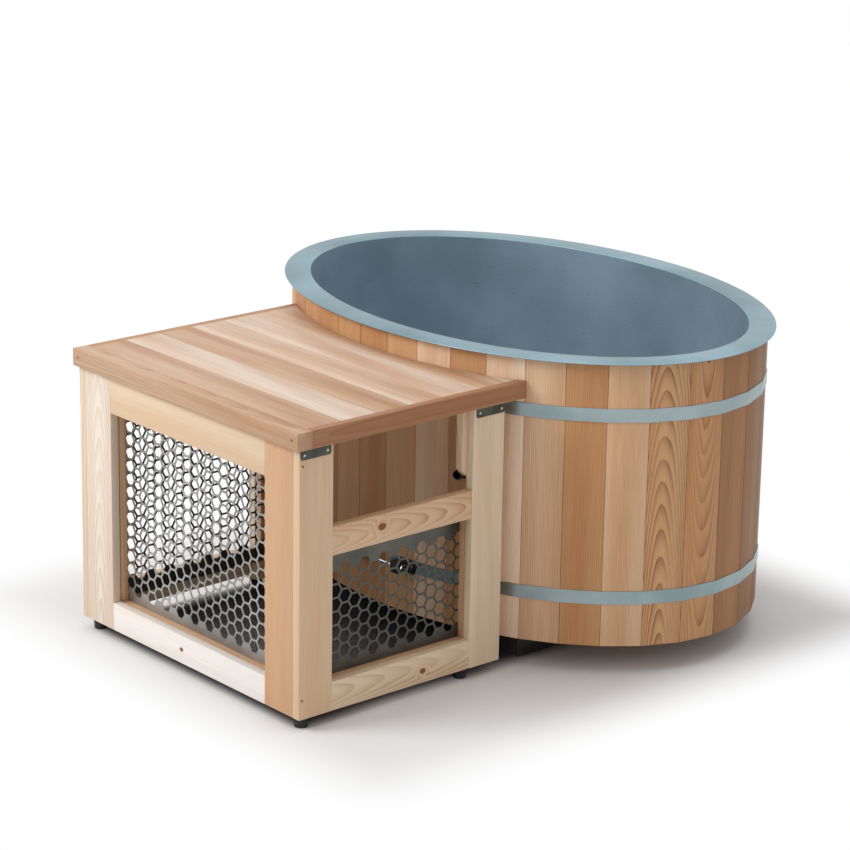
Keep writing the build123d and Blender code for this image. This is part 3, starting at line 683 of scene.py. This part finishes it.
for looks, finish in ((boardLooks, "frameTimber"), (topLooks, "topTimber")):
    for nodeName, look in looks.items():
        mesh = weldedCopy(nodeName)
        easeEdges(mesh, boardEase)
        grainLayers(mesh)
        for i, group in enumerate(islands(mesh)):
            setGrain(mesh, group, {**look, "seed": look["seed"] * 10 + i})
        finishPiece(mesh, camel(nodeName) + "Board", finish, "cabinet", [nodeName], smooth=30)
print("boards built")


# beads behind the openings

beadValues = {"width": 0.025, "depth": 0.021, "setBack": 0.002, "quirkWidth": 0.006, "quirkDepth": 0.004,
              "ease": 0.0009, "tone": 0.75, "toneStep": 0.05, "figure": 0.4}


def openingFrame(end):
    # directions across, up and out of an opening, how far out its boards' backs lie, and its edges
    up = Vector((0, 0, 1))
    if end == "front":
        edges = (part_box("front_left_stile")[1].x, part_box("front_right_stile")[0].x,
                 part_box("front_bottom_rail")[1].z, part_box("front_top_rail")[0].z)
        return Vector((1, 0, 0)), up, Vector((0, -1, 0)), -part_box("front_top_rail")[1].y, edges
    if end == "right":
        edges = (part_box("right_front_stile")[1].y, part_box("right_rear_stile")[0].y,
                 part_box("right_bottom_rail")[1].z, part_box("right_mid_rail")[0].z)
        return Vector((0, 1, 0)), up, Vector((1, 0, 0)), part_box("right_mid_rail")[0].x, edges
    edges = (-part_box("left_rear_stile")[0].y, -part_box("left_front_stile")[1].y,
             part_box("left_bottom_rail")[1].z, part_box("left_top_rail")[0].z)
    return Vector((0, -1, 0)), up, Vector((-1, 0, 0)), -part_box("left_top_rail")[1].x, edges


def buildBeads(end, seed):
    v = beadValues
    across, up, out, reach, (left, right, bottom, top) = openingFrame(end)
    left, right = left - v["setBack"], right + v["setBack"]
    bottom, top = bottom - v["setBack"], top + v["setBack"]
    section = [(0, -v["quirkDepth"]), (v["quirkWidth"], -v["quirkDepth"]), (v["quirkWidth"], 0), (v["width"], 0),
               (v["width"], -v["depth"]), (0, -v["depth"])]
    runs = [((left, bottom), (right, bottom), (0, -1)), ((left, top), (right, top), (0, 1)),
            ((right, bottom - v["width"]), (right, top + v["width"]), (1, 0)),
            ((left, bottom - v["width"]), (left, top + v["width"]), (-1, 0))]
    mesh = bmesh.new()
    for start, stop, away in runs:
        skin(mesh, [[mesh.verts.new(across * (u + away[0] * s) + up * (w + away[1] * s) + out * (reach + d))
                     for s, d in section] for u, w in (start, stop)])
    bmesh.ops.recalc_face_normals(mesh, faces=mesh.faces)
    easeEdges(mesh, v["ease"])
    grainLayers(mesh)
    for i, group in enumerate(islands(mesh)):
        setGrain(mesh, group, {"seed": seed + i, "tone": v["tone"] + v["toneStep"] * i, "figure": v["figure"]})
    finishPiece(mesh, end + "BeadStrips", "frameTimber", "cabinet", [end + "_beads"], smooth=30)


for end, seed in (("front", 500), ("right", 510), ("left", 520)):
    buildBeads(end, seed)
print("beads built")


# perforated sheets: a honeycomb of tiles, with holes in the middle rows and plain tiles out to the edges

sheetValues = {"pitch": 0.031, "acrossFlats": 0.0264, "thickness": 0.0015, "spare": 3, "weld": 0.0001,
               "leastFace": 1e-7}
sheetLayouts = {
    "front": {"finish": "webSteel", "middle": 0.0, "even": 0.1351, "odd": 0.1196, "halfColumns": 10, "rows": 14},
    # the right and left sheets take the darker copy of the web steel, which is painted shade
    "right": {"finish": "sideWebSteel", "middle": -0.6892, "even": 0.1220, "odd": 0.1375, "halfColumns": 7,
              "rows": 7},
    "left": {"finish": "sideWebSteel", "middle": 0.6892, "even": 0.1140, "odd": 0.1295, "halfColumns": 7,
             "rows": 14},
}


def geometryTree(name, **inputs):
    # an empty geometry tree with named inputs, given by kind
    tree = bpy.data.node_groups.new(name, "GeometryNodeTree")
    kinds = {"value": "NodeSocketFloat", "count": "NodeSocketInt", "material": "NodeSocketMaterial",
             "geometry": "NodeSocketGeometry"}
    for kind, labels in inputs.items():
        for label in labels:
            tree.interface.new_socket(label, in_out="INPUT", socket_type=kinds[kind])
    tree.interface.new_socket("Geometry", in_out="OUTPUT", socket_type=kinds["geometry"])
    graph = Graph(tree)
    return tree, graph, graph.add("NodeGroupInput").outputs, graph.add("NodeGroupOutput").inputs


def runTree(tree, values, start=None):
    # evaluates a tree on a holder mesh and gives back the plain mesh
    holder = bpy.data.objects.new("holder", start or bpy.data.meshes.new("holder"))
    scene.collection.objects.link(holder)
    modifier = holder.modifiers.new("nodes", "NODES")
    modifier.node_group = tree
    for item in tree.interface.items_tree:
        if item.in_out == "INPUT" and item.name in values:
            modifier[item.identifier] = values[item.name]
    result = bpy.data.meshes.new_from_object(holder.evaluated_get(bpy.context.evaluated_depsgraph_get()))
    bpy.data.objects.remove(holder)
    return result


def buildSheetTree():
    tree, g, given, out = geometryTree(
        "perforatedSheet",
        value=("Left", "Right", "Bottom", "Top", "Middle", "Even Start", "Odd Start", "Pitch", "Across Flats",
               "Thickness"),
        count=("Half Columns", "Rows", "Spare"), material=("Finish",))
    # a grid of points, column by column, with spare ones round the field of holes
    tallRows = g.math("MULTIPLY_ADD", given["Spare"], 2.0, given["Rows"])
    wide = g.math("ADD", given["Half Columns"], given["Spare"])
    columns = g.math("MULTIPLY_ADD", wide, 2.0, 1.0)
    index = g.math("ADD", g.add("GeometryNodeInputIndex").outputs[0], 0.5)
    column = g.math("SUBTRACT", g.math("FLOOR", g.math("DIVIDE", index, tallRows)), wide)
    row = g.math("SUBTRACT", g.math("FLOOR", g.math("MODULO", index, tallRows)), given["Spare"])
    isOdd = g.math("GREATER_THAN", g.math("PINGPONG", column, 1.0), 0.5)
    offset = g.math("SUBTRACT", given["Odd Start"], given["Even Start"])
    x = g.math("MULTIPLY_ADD", column, g.math("MULTIPLY", given["Pitch"], math.sqrt(3) / 2), given["Middle"])
    y = g.math("MULTIPLY_ADD", row, given["Pitch"], g.math("MULTIPLY_ADD", isOdd, offset, given["Even Start"]))
    points = g.add("GeometryNodePoints", {"Count": g.math("MULTIPLY", columns, tallRows),
                                          "Position": g.join(x, y, 0.0)}).outputs[0]
    inColumns = g.math("LESS_THAN", g.math("ABSOLUTE", column), g.math("ADD", given["Half Columns"], 0.5))
    inRows = g.math("MULTIPLY", g.math("GREATER_THAN", row, -0.5), g.math("LESS_THAN", row, given["Rows"]))
    inField = g.math("MULTIPLY", inColumns, inRows)
    # a plain tile, and one with a hole
    tile = g.add("GeometryNodeMeshCircle", {"Vertices": 6, "Radius": g.math("DIVIDE", given["Pitch"], math.sqrt(3))},
                 fill_type="NGON").outputs[0]
    punched = g.add("GeometryNodeExtrudeMesh", {"Mesh": tile, "Offset Scale": 0.0}, mode="FACES").outputs
    shrunk = g.add("GeometryNodeScaleElements", {
        "Geometry": punched["Mesh"], "Selection": punched["Top"],
        "Scale": g.math("DIVIDE", given["Across Flats"], given["Pitch"])}, domain="FACE").outputs[0]
    opened = g.add("GeometryNodeDeleteGeometry", {"Geometry": shrunk, "Selection": punched["Top"]}, domain="FACE")
    tiles = [g.add("GeometryNodeInstanceOnPoints", {"Points": points, "Instance": shape,
                                                    "Selection": chosen}).outputs[0]
             for shape, chosen in ((tile, g.math("SUBTRACT", 1.0, inField)), (opened.outputs[0], inField))]
    real = g.add("GeometryNodeRealizeInstances", {0: g.joinShapes(*tiles)}).outputs[0]
    # trimmed to the sheet's edges, welded, and made thick
    place = g.add("GeometryNodeInputPosition").outputs[0]
    place = g.vector("MAXIMUM", place, g.join(given["Left"], given["Bottom"], 0.0))
    place = g.vector("MINIMUM", place, g.join(given["Right"], given["Top"], 0.0))
    trimmed = g.add("GeometryNodeSetPosition", {"Geometry": real, "Position": place}).outputs[0]
    weld = sheetValues["weld"]
    merged = g.add("GeometryNodeMergeByDistance", {"Geometry": trimmed, "Distance": weld}).outputs[0]
    area = g.add("GeometryNodeInputMeshFaceArea").outputs[0]
    sliver = g.math("LESS_THAN", area, sheetValues["leastFace"])
    flat = g.add("GeometryNodeDeleteGeometry", {"Geometry": merged, "Selection": sliver}, domain="FACE").outputs[0]
    thick = g.add("GeometryNodeExtrudeMesh", {"Mesh": flat, "Offset Scale": given["Thickness"], "Individual": False},
                  mode="FACES").outputs["Mesh"]
    both = g.joinShapes(thick, g.add("GeometryNodeFlipFaces", {0: flat}).outputs[0])
    closed = g.add("GeometryNodeMergeByDistance", {"Geometry": both, "Distance": weld}).outputs[0]
    finished = g.add("GeometryNodeSetMaterial", {"Geometry": closed, "Material": given["Finish"]})
    g.link(finished.outputs[0], out[0])
    return tree


sheetTree = buildSheetTree()


def buildSheet(end):
    v, layout = sheetValues, sheetLayouts[end]
    across, up, out, reach, (left, right, bottom, top) = openingFrame(end)
    lap = beadValues["setBack"] + beadValues["width"]
    data = runTree(sheetTree, {
        "Left": left - lap, "Right": right + lap, "Bottom": bottom - lap, "Top": top + lap, "Middle": layout["middle"],
        "Even Start": layout["even"], "Odd Start": layout["odd"], "Pitch": v["pitch"], "Across Flats": v["acrossFlats"],
        "Thickness": v["thickness"], "Half Columns": layout["halfColumns"], "Rows": layout["rows"], "Spare": v["spare"],
        "Finish": finishes[layout["finish"]]})
    origin = out * (reach - beadValues["depth"] - v["thickness"])
    data.transform(Matrix.Translation(origin) @ Matrix((across, up, out)).transposed().to_4x4())
    finishData(data, end + "HoneycombSheet", layout["finish"], "cabinet", [end + "_sheet"])


for end in sheetLayouts:
    buildSheet(end)
print("perforated sheets built")


# screws: a head with a black square on it, painted shade standing for its square recess, placed on points that carry
# the direction they face

screwValues = {"radius": 0.0026, "sides": 20, "recessShare": 0.42, "recessRise": 1.35, "woodProud": 0.00003,
               "plateProud": 0.0003, "edgingX": 0.386, "edgingZ": 0.6490, "stileY": -0.9730,
               "stileZ": (0.591, 0.070), "plateY": (-0.9705, -0.9090, -0.4870, -0.4250), "plateZ": 0.6150}


def buildScrewTree():
    tree, g, given, out = geometryTree("screwSet", geometry=("Places",), value=("Radius", "Proud"),
                                       material=("Head", "RecessShade"))
    facing = g.add("GeometryNodeInputNamedAttribute", {"Name": "facing"}, data_type="FLOAT_VECTOR")
    turned = g.add("FunctionNodeAlignRotationToVector", {"Vector": facing.outputs["Attribute"]}, axis="Z")
    discs = []
    # the recess is a black square disc standing just proud of the head: painted shade
    for share, sides, rise, finish in ((1.0, screwValues["sides"], 1.0, "Head"),
                                       (screwValues["recessShare"], 4, screwValues["recessRise"], "RecessShade")):
        disc = g.add("GeometryNodeMeshCylinder", {"Vertices": sides,
                                                  "Radius": g.math("MULTIPLY", given["Radius"], share),
                                                  "Depth": g.math("MULTIPLY", given["Proud"], 2 * rise)})
        discs.append(g.add("GeometryNodeSetMaterial", {"Geometry": disc.outputs["Mesh"],
                                                       "Material": given[finish]}).outputs[0])
    screws = g.add("GeometryNodeInstanceOnPoints", {"Points": given["Places"], "Instance": g.joinShapes(*discs),
                                                    "Rotation": turned.outputs[0]})
    g.link(g.add("GeometryNodeRealizeInstances", {0: screws.outputs[0]}).outputs[0], out[0])
    return tree


screwTree = buildScrewTree()


def buildScrews(name, places, proud, head):
    start = bpy.data.meshes.new("places")
    start.from_pydata([place for place, way in places], [], [])
    facing = start.attributes.new("facing", "FLOAT_VECTOR", "POINT")
    for item, (place, way) in zip(facing.data, places):
        item.vector = way
    # the recesses take the black coat as painted shade
    data = runTree(screwTree, {"Radius": screwValues["radius"], "Proud": proud, "Head": finishes[head],
                               "RecessShade": finishes["blackCoat"]}, start)
    finishData(data, name, head, "cabinet", [], slotName="bolt_steel")


def placeScrews():
    v = screwValues
    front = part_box("front_edging")[0].y
    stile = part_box("right_front_stile")[1].x
    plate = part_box("corner_brackets")[1].x
    wood = [((side * v["edgingX"], front, v["edgingZ"]), (0, -1, 0)) for side in (-1, 1)]
    wood += [((side * stile, v["stileY"], z), (side, 0, 0)) for side in (1, -1) for z in v["stileZ"]]
    bracket = [((side * plate, y, v["plateZ"]), (side, 0, 0)) for side in (-1, 1) for y in v["plateY"]]
    buildScrews("boardScrews", wood, v["woodProud"], "sunkSteel")
    buildScrews("bracketScrews", bracket, v["plateProud"], "boltSteel")


placeScrews()
print("screws placed")


# turned pieces


def turnedMesh(profile, segments, placing):
    # spins radius and height points about Z, then places the piece
    mesh = bmesh.new()
    rings = [[mesh.verts.new((x, y, height)) for x, y in circle(segments, radius)] if radius > 1e-6
             else [mesh.verts.new((0, 0, height))] for radius, height in profile]
    for lower, upper in zip(rings, rings[1:]):
        for i in range(segments):
            j = (i + 1) % segments
            if len(lower) == 1 and len(upper) > 1:
                mesh.faces.new((lower[0], upper[j], upper[i]))
            elif len(upper) == 1 and len(lower) > 1:
                mesh.faces.new((lower[i], lower[j], upper[0]))
            elif len(lower) > 1:
                mesh.faces.new((lower[i], lower[j], upper[j], upper[i]))
    bmesh.ops.recalc_face_normals(mesh, faces=mesh.faces)
    mesh.transform(placing)
    return mesh


# levelling feet: a tapered glide with a ribbed collar, on a threaded stud
footValues = {"rimRadius": 0.0175, "baseRadius": 0.0154, "height": 0.0267, "taperTop": 0.0150, "collarBottom": 0.0168,
              "ribBottom": 0.0155, "studRadius": 0.004, "studTop": 0.0627, "ribs": 30, "ribDepth": 0.0005,
              "pitch": 0.00125, "threadDepth": 0.0005, "ease": 0.0012}


def buildFoot(nodeName):
    v = footValues
    low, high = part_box(nodeName)
    centre = ((low + high) / 2).xy
    base, rim, h, e = v["baseRadius"], v["rimRadius"], v["height"], v["ease"]
    waist = base + (rim - base) * 0.55
    root = v["studRadius"] - v["threadDepth"]
    profile = [(0, 0), (base - e, 0), (base - e / 3, e / 3), (base, e), (waist, v["taperTop"]),
               (waist - 0.0007, v["taperTop"] + 0.0008), (rim - 0.0008, v["collarBottom"]), (rim - e / 3, h - e),
               (rim - e, h), (v["studRadius"] + v["threadDepth"], h)]
    z = h
    while z < v["studTop"] - v["pitch"]:
        profile += [(root, z), (v["studRadius"], z + v["pitch"] / 2)]
        z += v["pitch"]
    profile += [(v["studRadius"] - 0.0008, v["studTop"]), (0, v["studTop"])]
    mesh = turnedMesh(profile, 2 * v["ribs"], Matrix.Translation((*centre, 0)))
    for vert in mesh.verts:
        d = vert.co.xy - centre
        if v["ribBottom"] < vert.co.z < h - e / 2 and d.length > 0.012:
            step = round(math.atan2(d.y, d.x) / (math.pi / v["ribs"]))
            vert.co.xy = centre + d * (1 - (v["ribDepth"] if step % 2 else 0) / d.length)
    finishPiece(mesh, camel(nodeName) + "Glide", "blackPlastic", nodeName + "_body", [nodeName], smooth=35)


for nodeName in ("front_right_foot", "front_left_foot", "rear_right_foot", "rear_left_foot"):
    buildFoot(nodeName)
print("feet built")


# hose fittings: barbed tail, hexagonal collar and shank, at a stave and a height
portValues = {"bore": 0.008, "shank": 0.013, "collar": 0.017, "collarHeight": 0.010, "collarEase": 0.0009,
              "tail": 0.012, "tailLength": 0.030, "barbs": 4, "barbDrop": 0.0011, "start": 0.0002, "boreDepth": 0.012,
              "sides": 40}
portPlaces = {"return_port": (31, 0.437), "suction_port": (30, 0.285)}


def facingMatrix(origin, z):
    x = Vector((0, 0, 1))
    return Matrix.Translation(origin) @ Matrix((x, z.cross(x), z)).transposed().to_4x4()


def buildPort(nodeName, k, height):
    v = portValues
    middle, facing = staveMiddle(k) + Vector((0, 0, height)), staveFacing(k)
    place = facingMatrix(middle, facing.normalized())
    base, root = v["collarHeight"], v["tail"] - v["barbDrop"]
    step = (v["tailLength"] - 0.003) / v["barbs"]
    profile = [(v["bore"], base - 0.002), (root, base)]
    for i in range(v["barbs"]):
        z = base + 0.002 + i * step
        profile += [(root, z), (v["tail"], z + 0.0004), (root, z + step - 0.0002)]
    end = base + v["tailLength"]
    profile += [(v["bore"] + 0.0008, end), (v["bore"], end - 0.0006), (v["bore"], base - 0.002)]
    mesh = turnedMesh(profile, v["sides"], place)
    collar = bmesh.new()
    skin(collar, [[collar.verts.new((x, y, z)) for x, y in circle(6, v["collar"])] for z in (v["start"], base)])
    bmesh.ops.bevel(collar, geom=collar.edges[:], offset=v["collarEase"], segments=2, profile=0.5, affect="EDGES")
    collar.transform(place)
    joinMeshes(mesh, collar)
    shankEnd = min((p.co - middle).dot(facing) for p in nodes[nodeName].data.vertices)
    floor = shankEnd + v["boreDepth"]
    shank = [(0, v["start"]), (v["shank"], v["start"]), (v["shank"], shankEnd + 0.001), (v["shank"] - 0.001, shankEnd),
             (v["bore"], shankEnd), (v["bore"], floor), (0, floor)]
    joinMeshes(mesh, turnedMesh(shank, v["sides"], place))
    label = nodeName.split("_")[0] + "HoseFitting"
    finishPiece(mesh, label, "blackPlastic", "tub", [nodeName], smooth=35)


for nodeName, (k, height) in portPlaces.items():
    buildPort(nodeName, k, height)


def buildCasting(nodeName, label, finish, body, ease, slotName=None):
    mesh = weldedCopy(nodeName, 2.0)
    easeEdges(mesh, ease)
    finishPiece(mesh, label, finish, body, [nodeName], smooth=35, slotName=slotName)


buildCasting("port_nuts", "portBackNuts", "blackPlastic", "tub", 0.0012)
buildCasting("upper_hoop_lugs", "upperDrawLugs", "blackCasting", "tub", 0.0012)
buildCasting("lower_hoop_lugs", "lowerDrawLugs", "blackCasting", "tub", 0.0012)
buildCasting("lug_bolts", "lugBolts", "boltSteel", "tub", 0.0006, "black_casting")
buildCasting("lock_nuts", "lockNuts", "boltSteel", "tub", 0.0005)
buildCasting("upper_draw_nut", "upperDrawNut", "boltSteel", "upper_nut", 0.0005)
buildCasting("lower_draw_nut", "lowerDrawNut", "boltSteel", "lower_nut", 0.0005)
buildCasting("rod_caps", "rodCaps", "blackPlastic", "tub", 0.0010)
buildCasting("corner_brackets", "cornerPlates", "plateSteel", "cabinet", 0.0004)
buildCasting("plinth", "plinthChannel", "blackCoat", "tub", 0.0006)

# draw rods with a rolled thread
rodValues = {"radius": 0.005, "depth": 0.00045, "pitch": 0.0015, "segments": 20, "half": 0.0873, "seam": 29,
             "standOff": 0.020}


def buildRod(nodeName):
    v = rodValues
    low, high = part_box(nodeName)
    out = (staveFacing(v["seam"] - 1) + staveFacing(v["seam"])).normalized()
    along = Vector((-out.y, out.x, 0))
    centre = ringCorner(v["seam"]) + out * v["standOff"]
    centre.z = (low.z + high.z) / 2
    mesh = bmesh.new()
    steps = int(2 * v["half"] / (v["pitch"] / 3))
    rings = []
    for i in range(steps + 1):
        z = -v["half"] + 2 * v["half"] * i / steps
        rings.append([])
        for n in range(v["segments"]):
            angle = 2 * math.pi * n / v["segments"]
            wave = 0.5 + 0.5 * math.cos(2 * math.pi * (z / v["pitch"]) - angle)
            radius = v["radius"] - v["depth"] * wave
            rings[-1].append(mesh.verts.new((radius * math.cos(angle), radius * math.sin(angle), z)))
    skin(mesh, rings)
    mesh.transform(Matrix.Translation(centre) @ Matrix((out, along.cross(out), along)).transposed().to_4x4())
    finishPiece(mesh, camel(nodeName), "boltSteel", "tub", [nodeName], smooth=60)


buildRod("upper_draw_rod")
buildRod("lower_draw_rod")
print("draw bolts built")


# drain: a dished flange with its tube and tail, and the plug with a pull
drainValues = {"flange": 0.042, "flangeHeight": 0.003, "tube": 0.024, "tail": 0.0215, "bore": 0.019,
               "tailBottom": 0.045, "tailTop": 0.087, "floor": 0.140, "plug": 0.01885, "plugDepth": 0.020,
               "plugEase": 0.0015, "disc": 0.026, "discHeight": 0.004, "pull": 0.005, "pullHeight": 0.012,
               "ease": 0.0008}


def buildDrain():
    v = drainValues
    low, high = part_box("drain_body")
    place = Matrix.Translation((*((low + high) / 2).xy, 0))
    e, floor, bore, tube, flange = v["ease"], v["floor"], v["bore"], v["tube"], v["flange"]
    top = floor + v["flangeHeight"]
    body = [(bore, v["tailBottom"]), (v["tail"] - e, v["tailBottom"]), (v["tail"], v["tailBottom"] + e),
            (v["tail"], v["tailTop"]), (tube - e, v["tailTop"]), (tube, v["tailTop"] + e), (tube, floor),
            (flange - e, floor), (flange, floor + e / 2), (flange - 0.003, top - e), (flange - 0.006, top),
            (bore + e, top), (bore, top - e), (bore, v["tailBottom"])]
    finishPiece(turnedMesh(body, 64, place), "drainTube", "linerSteel", "tub", ["drain_body"], smooth=35)
    plug, disc, pull, low = v["plug"], v["disc"], v["pull"], top - v["plugDepth"]
    cap = top + v["discHeight"]
    peak = cap + v["pullHeight"]
    profile = [(0, low), (plug - v["plugEase"], low), (plug, low + v["plugEase"]), (plug, top), (disc - e, top),
               (disc, top + e), (disc - e, cap - e), (disc - 0.003, cap), (pull * 0.7, cap),
               (pull * 0.55, cap + 0.004), (pull * 0.9, peak - 0.004), (pull * 0.98, peak - 0.0022),
               (pull * 0.7, peak - 0.0004), (0, peak)]
    finishPiece(turnedMesh(profile, 48, place), "drainPlug", "blackPlastic", "plug", ["drain_plug"], smooth=35)


buildDrain()
buildCasting("drain_nut", "drainNut", "blackPlastic", "tub", 0.0015)
print("drain built")


# the floor boards keep their own solid
nodes["floor_boards"].data.materials.clear()
nodes["floor_boards"].data.materials.append(floorTimber)


# camera, light and floor

photoView = {"place": (5.1192, -4.7222, 2.5700), "turn": (72.746, -0.974, 49.204), "lens": 130.24,
             "shiftX": -0.0163, "shiftY": -0.0073, "sensor": 36, "farthest": 60}


def buildCamera():
    v = photoView
    camera = bpy.data.cameras.new("photoCamera")
    camera.lens, camera.sensor_width, camera.clip_end = v["lens"], v["sensor"], v["farthest"]
    camera.shift_x, camera.shift_y = v["shiftX"], v["shiftY"]
    holder = bpy.data.objects.new("photoCamera", camera)
    holder.location = v["place"]
    holder.rotation_euler = Euler([math.radians(a) for a in v["turn"]], "XYZ")
    scene.collection.objects.link(holder)
    scene.camera = holder


# place, target, side and power
lamps = {"keyLamp": ((-2.2, -5.5, 4.6), (0, -0.4, 0.4), 3.0, 225), "sideLamp": ((6.0, -1.0, 3.5), (0, 0, 0.4), 3.0, 14),
         "topLamp": ((0, 0.5, 5.0), (0, 0, 0), 4.0, 70)}


def buildLamps():
    for name, (place, target, side, power) in lamps.items():
        lamp = bpy.data.lights.new(name, "AREA")
        lamp.size = side
        lamp.energy = power
        holder = bpy.data.objects.new(name, lamp)
        holder.location = place
        holder.rotation_euler = (Vector(target) - Vector(place)).to_track_quat("-Z", "Y").to_euler()
        scene.collection.objects.link(holder)


studioValues = {"reach": 40, "level": -0.0005, "floorShade": 0.90, "darkShade": (0.035, 0.035, 0.038, 1),
                "shadeDepth": 1.0, "worldLight": 0.47, "worldColour": (0.97, 0.985, 1.0, 1)}
# the object's plan and the cabinet's plan on the floor: middle and half size
planBox = {"middle": (0.0, -0.258), "half": (0.67, 0.73), "near": -0.06, "far": 0.20}
cabinetBox = {"middle": (0.0, -0.56), "half": (0.37, 0.40), "near": -0.03, "far": 0.04}
white = (1, 1, 1, 1)


def seenDirectly(g):
    # rays from the camera, also by way of a mirror or glass
    path = g.add("ShaderNodeLightPath").outputs
    return g.math("MAXIMUM", path["Is Camera Ray"], g.math("MAXIMUM", path["Is Glossy Ray"],
                                                           path["Is Transmission Ray"]))


def outside(g, place, box):
    # 0 inside a box on the floor, up to 1 away from it
    beyond = [g.math("SUBTRACT", g.math("ABSOLUTE", g.math("SUBTRACT", place[i], box["middle"][i])), box["half"][i])
              for i in range(2)]
    corner = g.vector("LENGTH", g.join(*[g.math("MAXIMUM", b, 0.0) for b in beyond], 0.0))
    inner = g.math("MINIMUM", g.math("MAXIMUM", *beyond), 0.0)
    return g.span(g.math("ADD", corner, inner), box["near"], box["far"])


def buildFloor():
    # painted shadow: dark only inside the cabinet, where it is sheltered, and plain white to the camera away from the
    # object
    v = studioValues
    reach, z = v["reach"], v["level"]
    data = bpy.data.meshes.new("studioFloor")
    data.from_pydata([(-reach, -reach, z), (reach, -reach, z), (reach, reach, z), (-reach, reach, z)], [],
                     [(0, 1, 2, 3)])
    floor = bpy.data.objects.new("studioFloor", data)
    scene.collection.objects.link(floor)
    material, g, shader = newMaterial("paleFloor")
    shader.inputs["Roughness"].default_value = 0.9
    shader.inputs["Specular IOR Level"].default_value = 0.1
    shelter = g.add("ShaderNodeAmbientOcclusion", {"Distance": v["shadeDepth"]}, samples=24).outputs["AO"]
    place = g.split(g.add("ShaderNodeTexCoord").outputs["Object"])
    # painted shadow: the sheltered floor inside the cabinet's plan turns near black
    lit = g.math("MAXIMUM", g.span(shelter, 0.16, 0.50), outside(g, place, cabinetBox))
    g.link(g.mix(lit, v["darkShade"], (v["floorShade"],) * 3 + (1,)), shader.inputs["Base Color"])
    glow = g.add("ShaderNodeEmission", {"Color": white, "Strength": 1.0})
    mixer = g.add("ShaderNodeMixShader", {0: g.math("MULTIPLY", seenDirectly(g), outside(g, place, planBox)),
                                          1: shader.outputs[0], 2: glow.outputs[0]})
    g.link(mixer.outputs[0], material.node_tree.nodes["Material Output"].inputs["Surface"])
    data.materials.append(material)


def buildWorld():
    world = bpy.data.worlds.new("studio")
    world.use_nodes = True
    scene.world = world
    g = Graph(world.node_tree)
    world.node_tree.nodes.clear()
    v = studioValues
    light = g.add("ShaderNodeBackground", {"Color": v["worldColour"], "Strength": v["worldLight"]})
    backdrop = g.add("ShaderNodeBackground", {"Color": white, "Strength": 1.0})
    mixer = g.add("ShaderNodeMixShader", {0: seenDirectly(g), 1: light.outputs[0], 2: backdrop.outputs[0]})
    g.add("ShaderNodeOutputWorld", {0: mixer.outputs[0]})


buildCamera()
buildFloor()
buildWorld()
buildLamps()
scene.view_settings.view_transform = "Standard"
print("studio built")
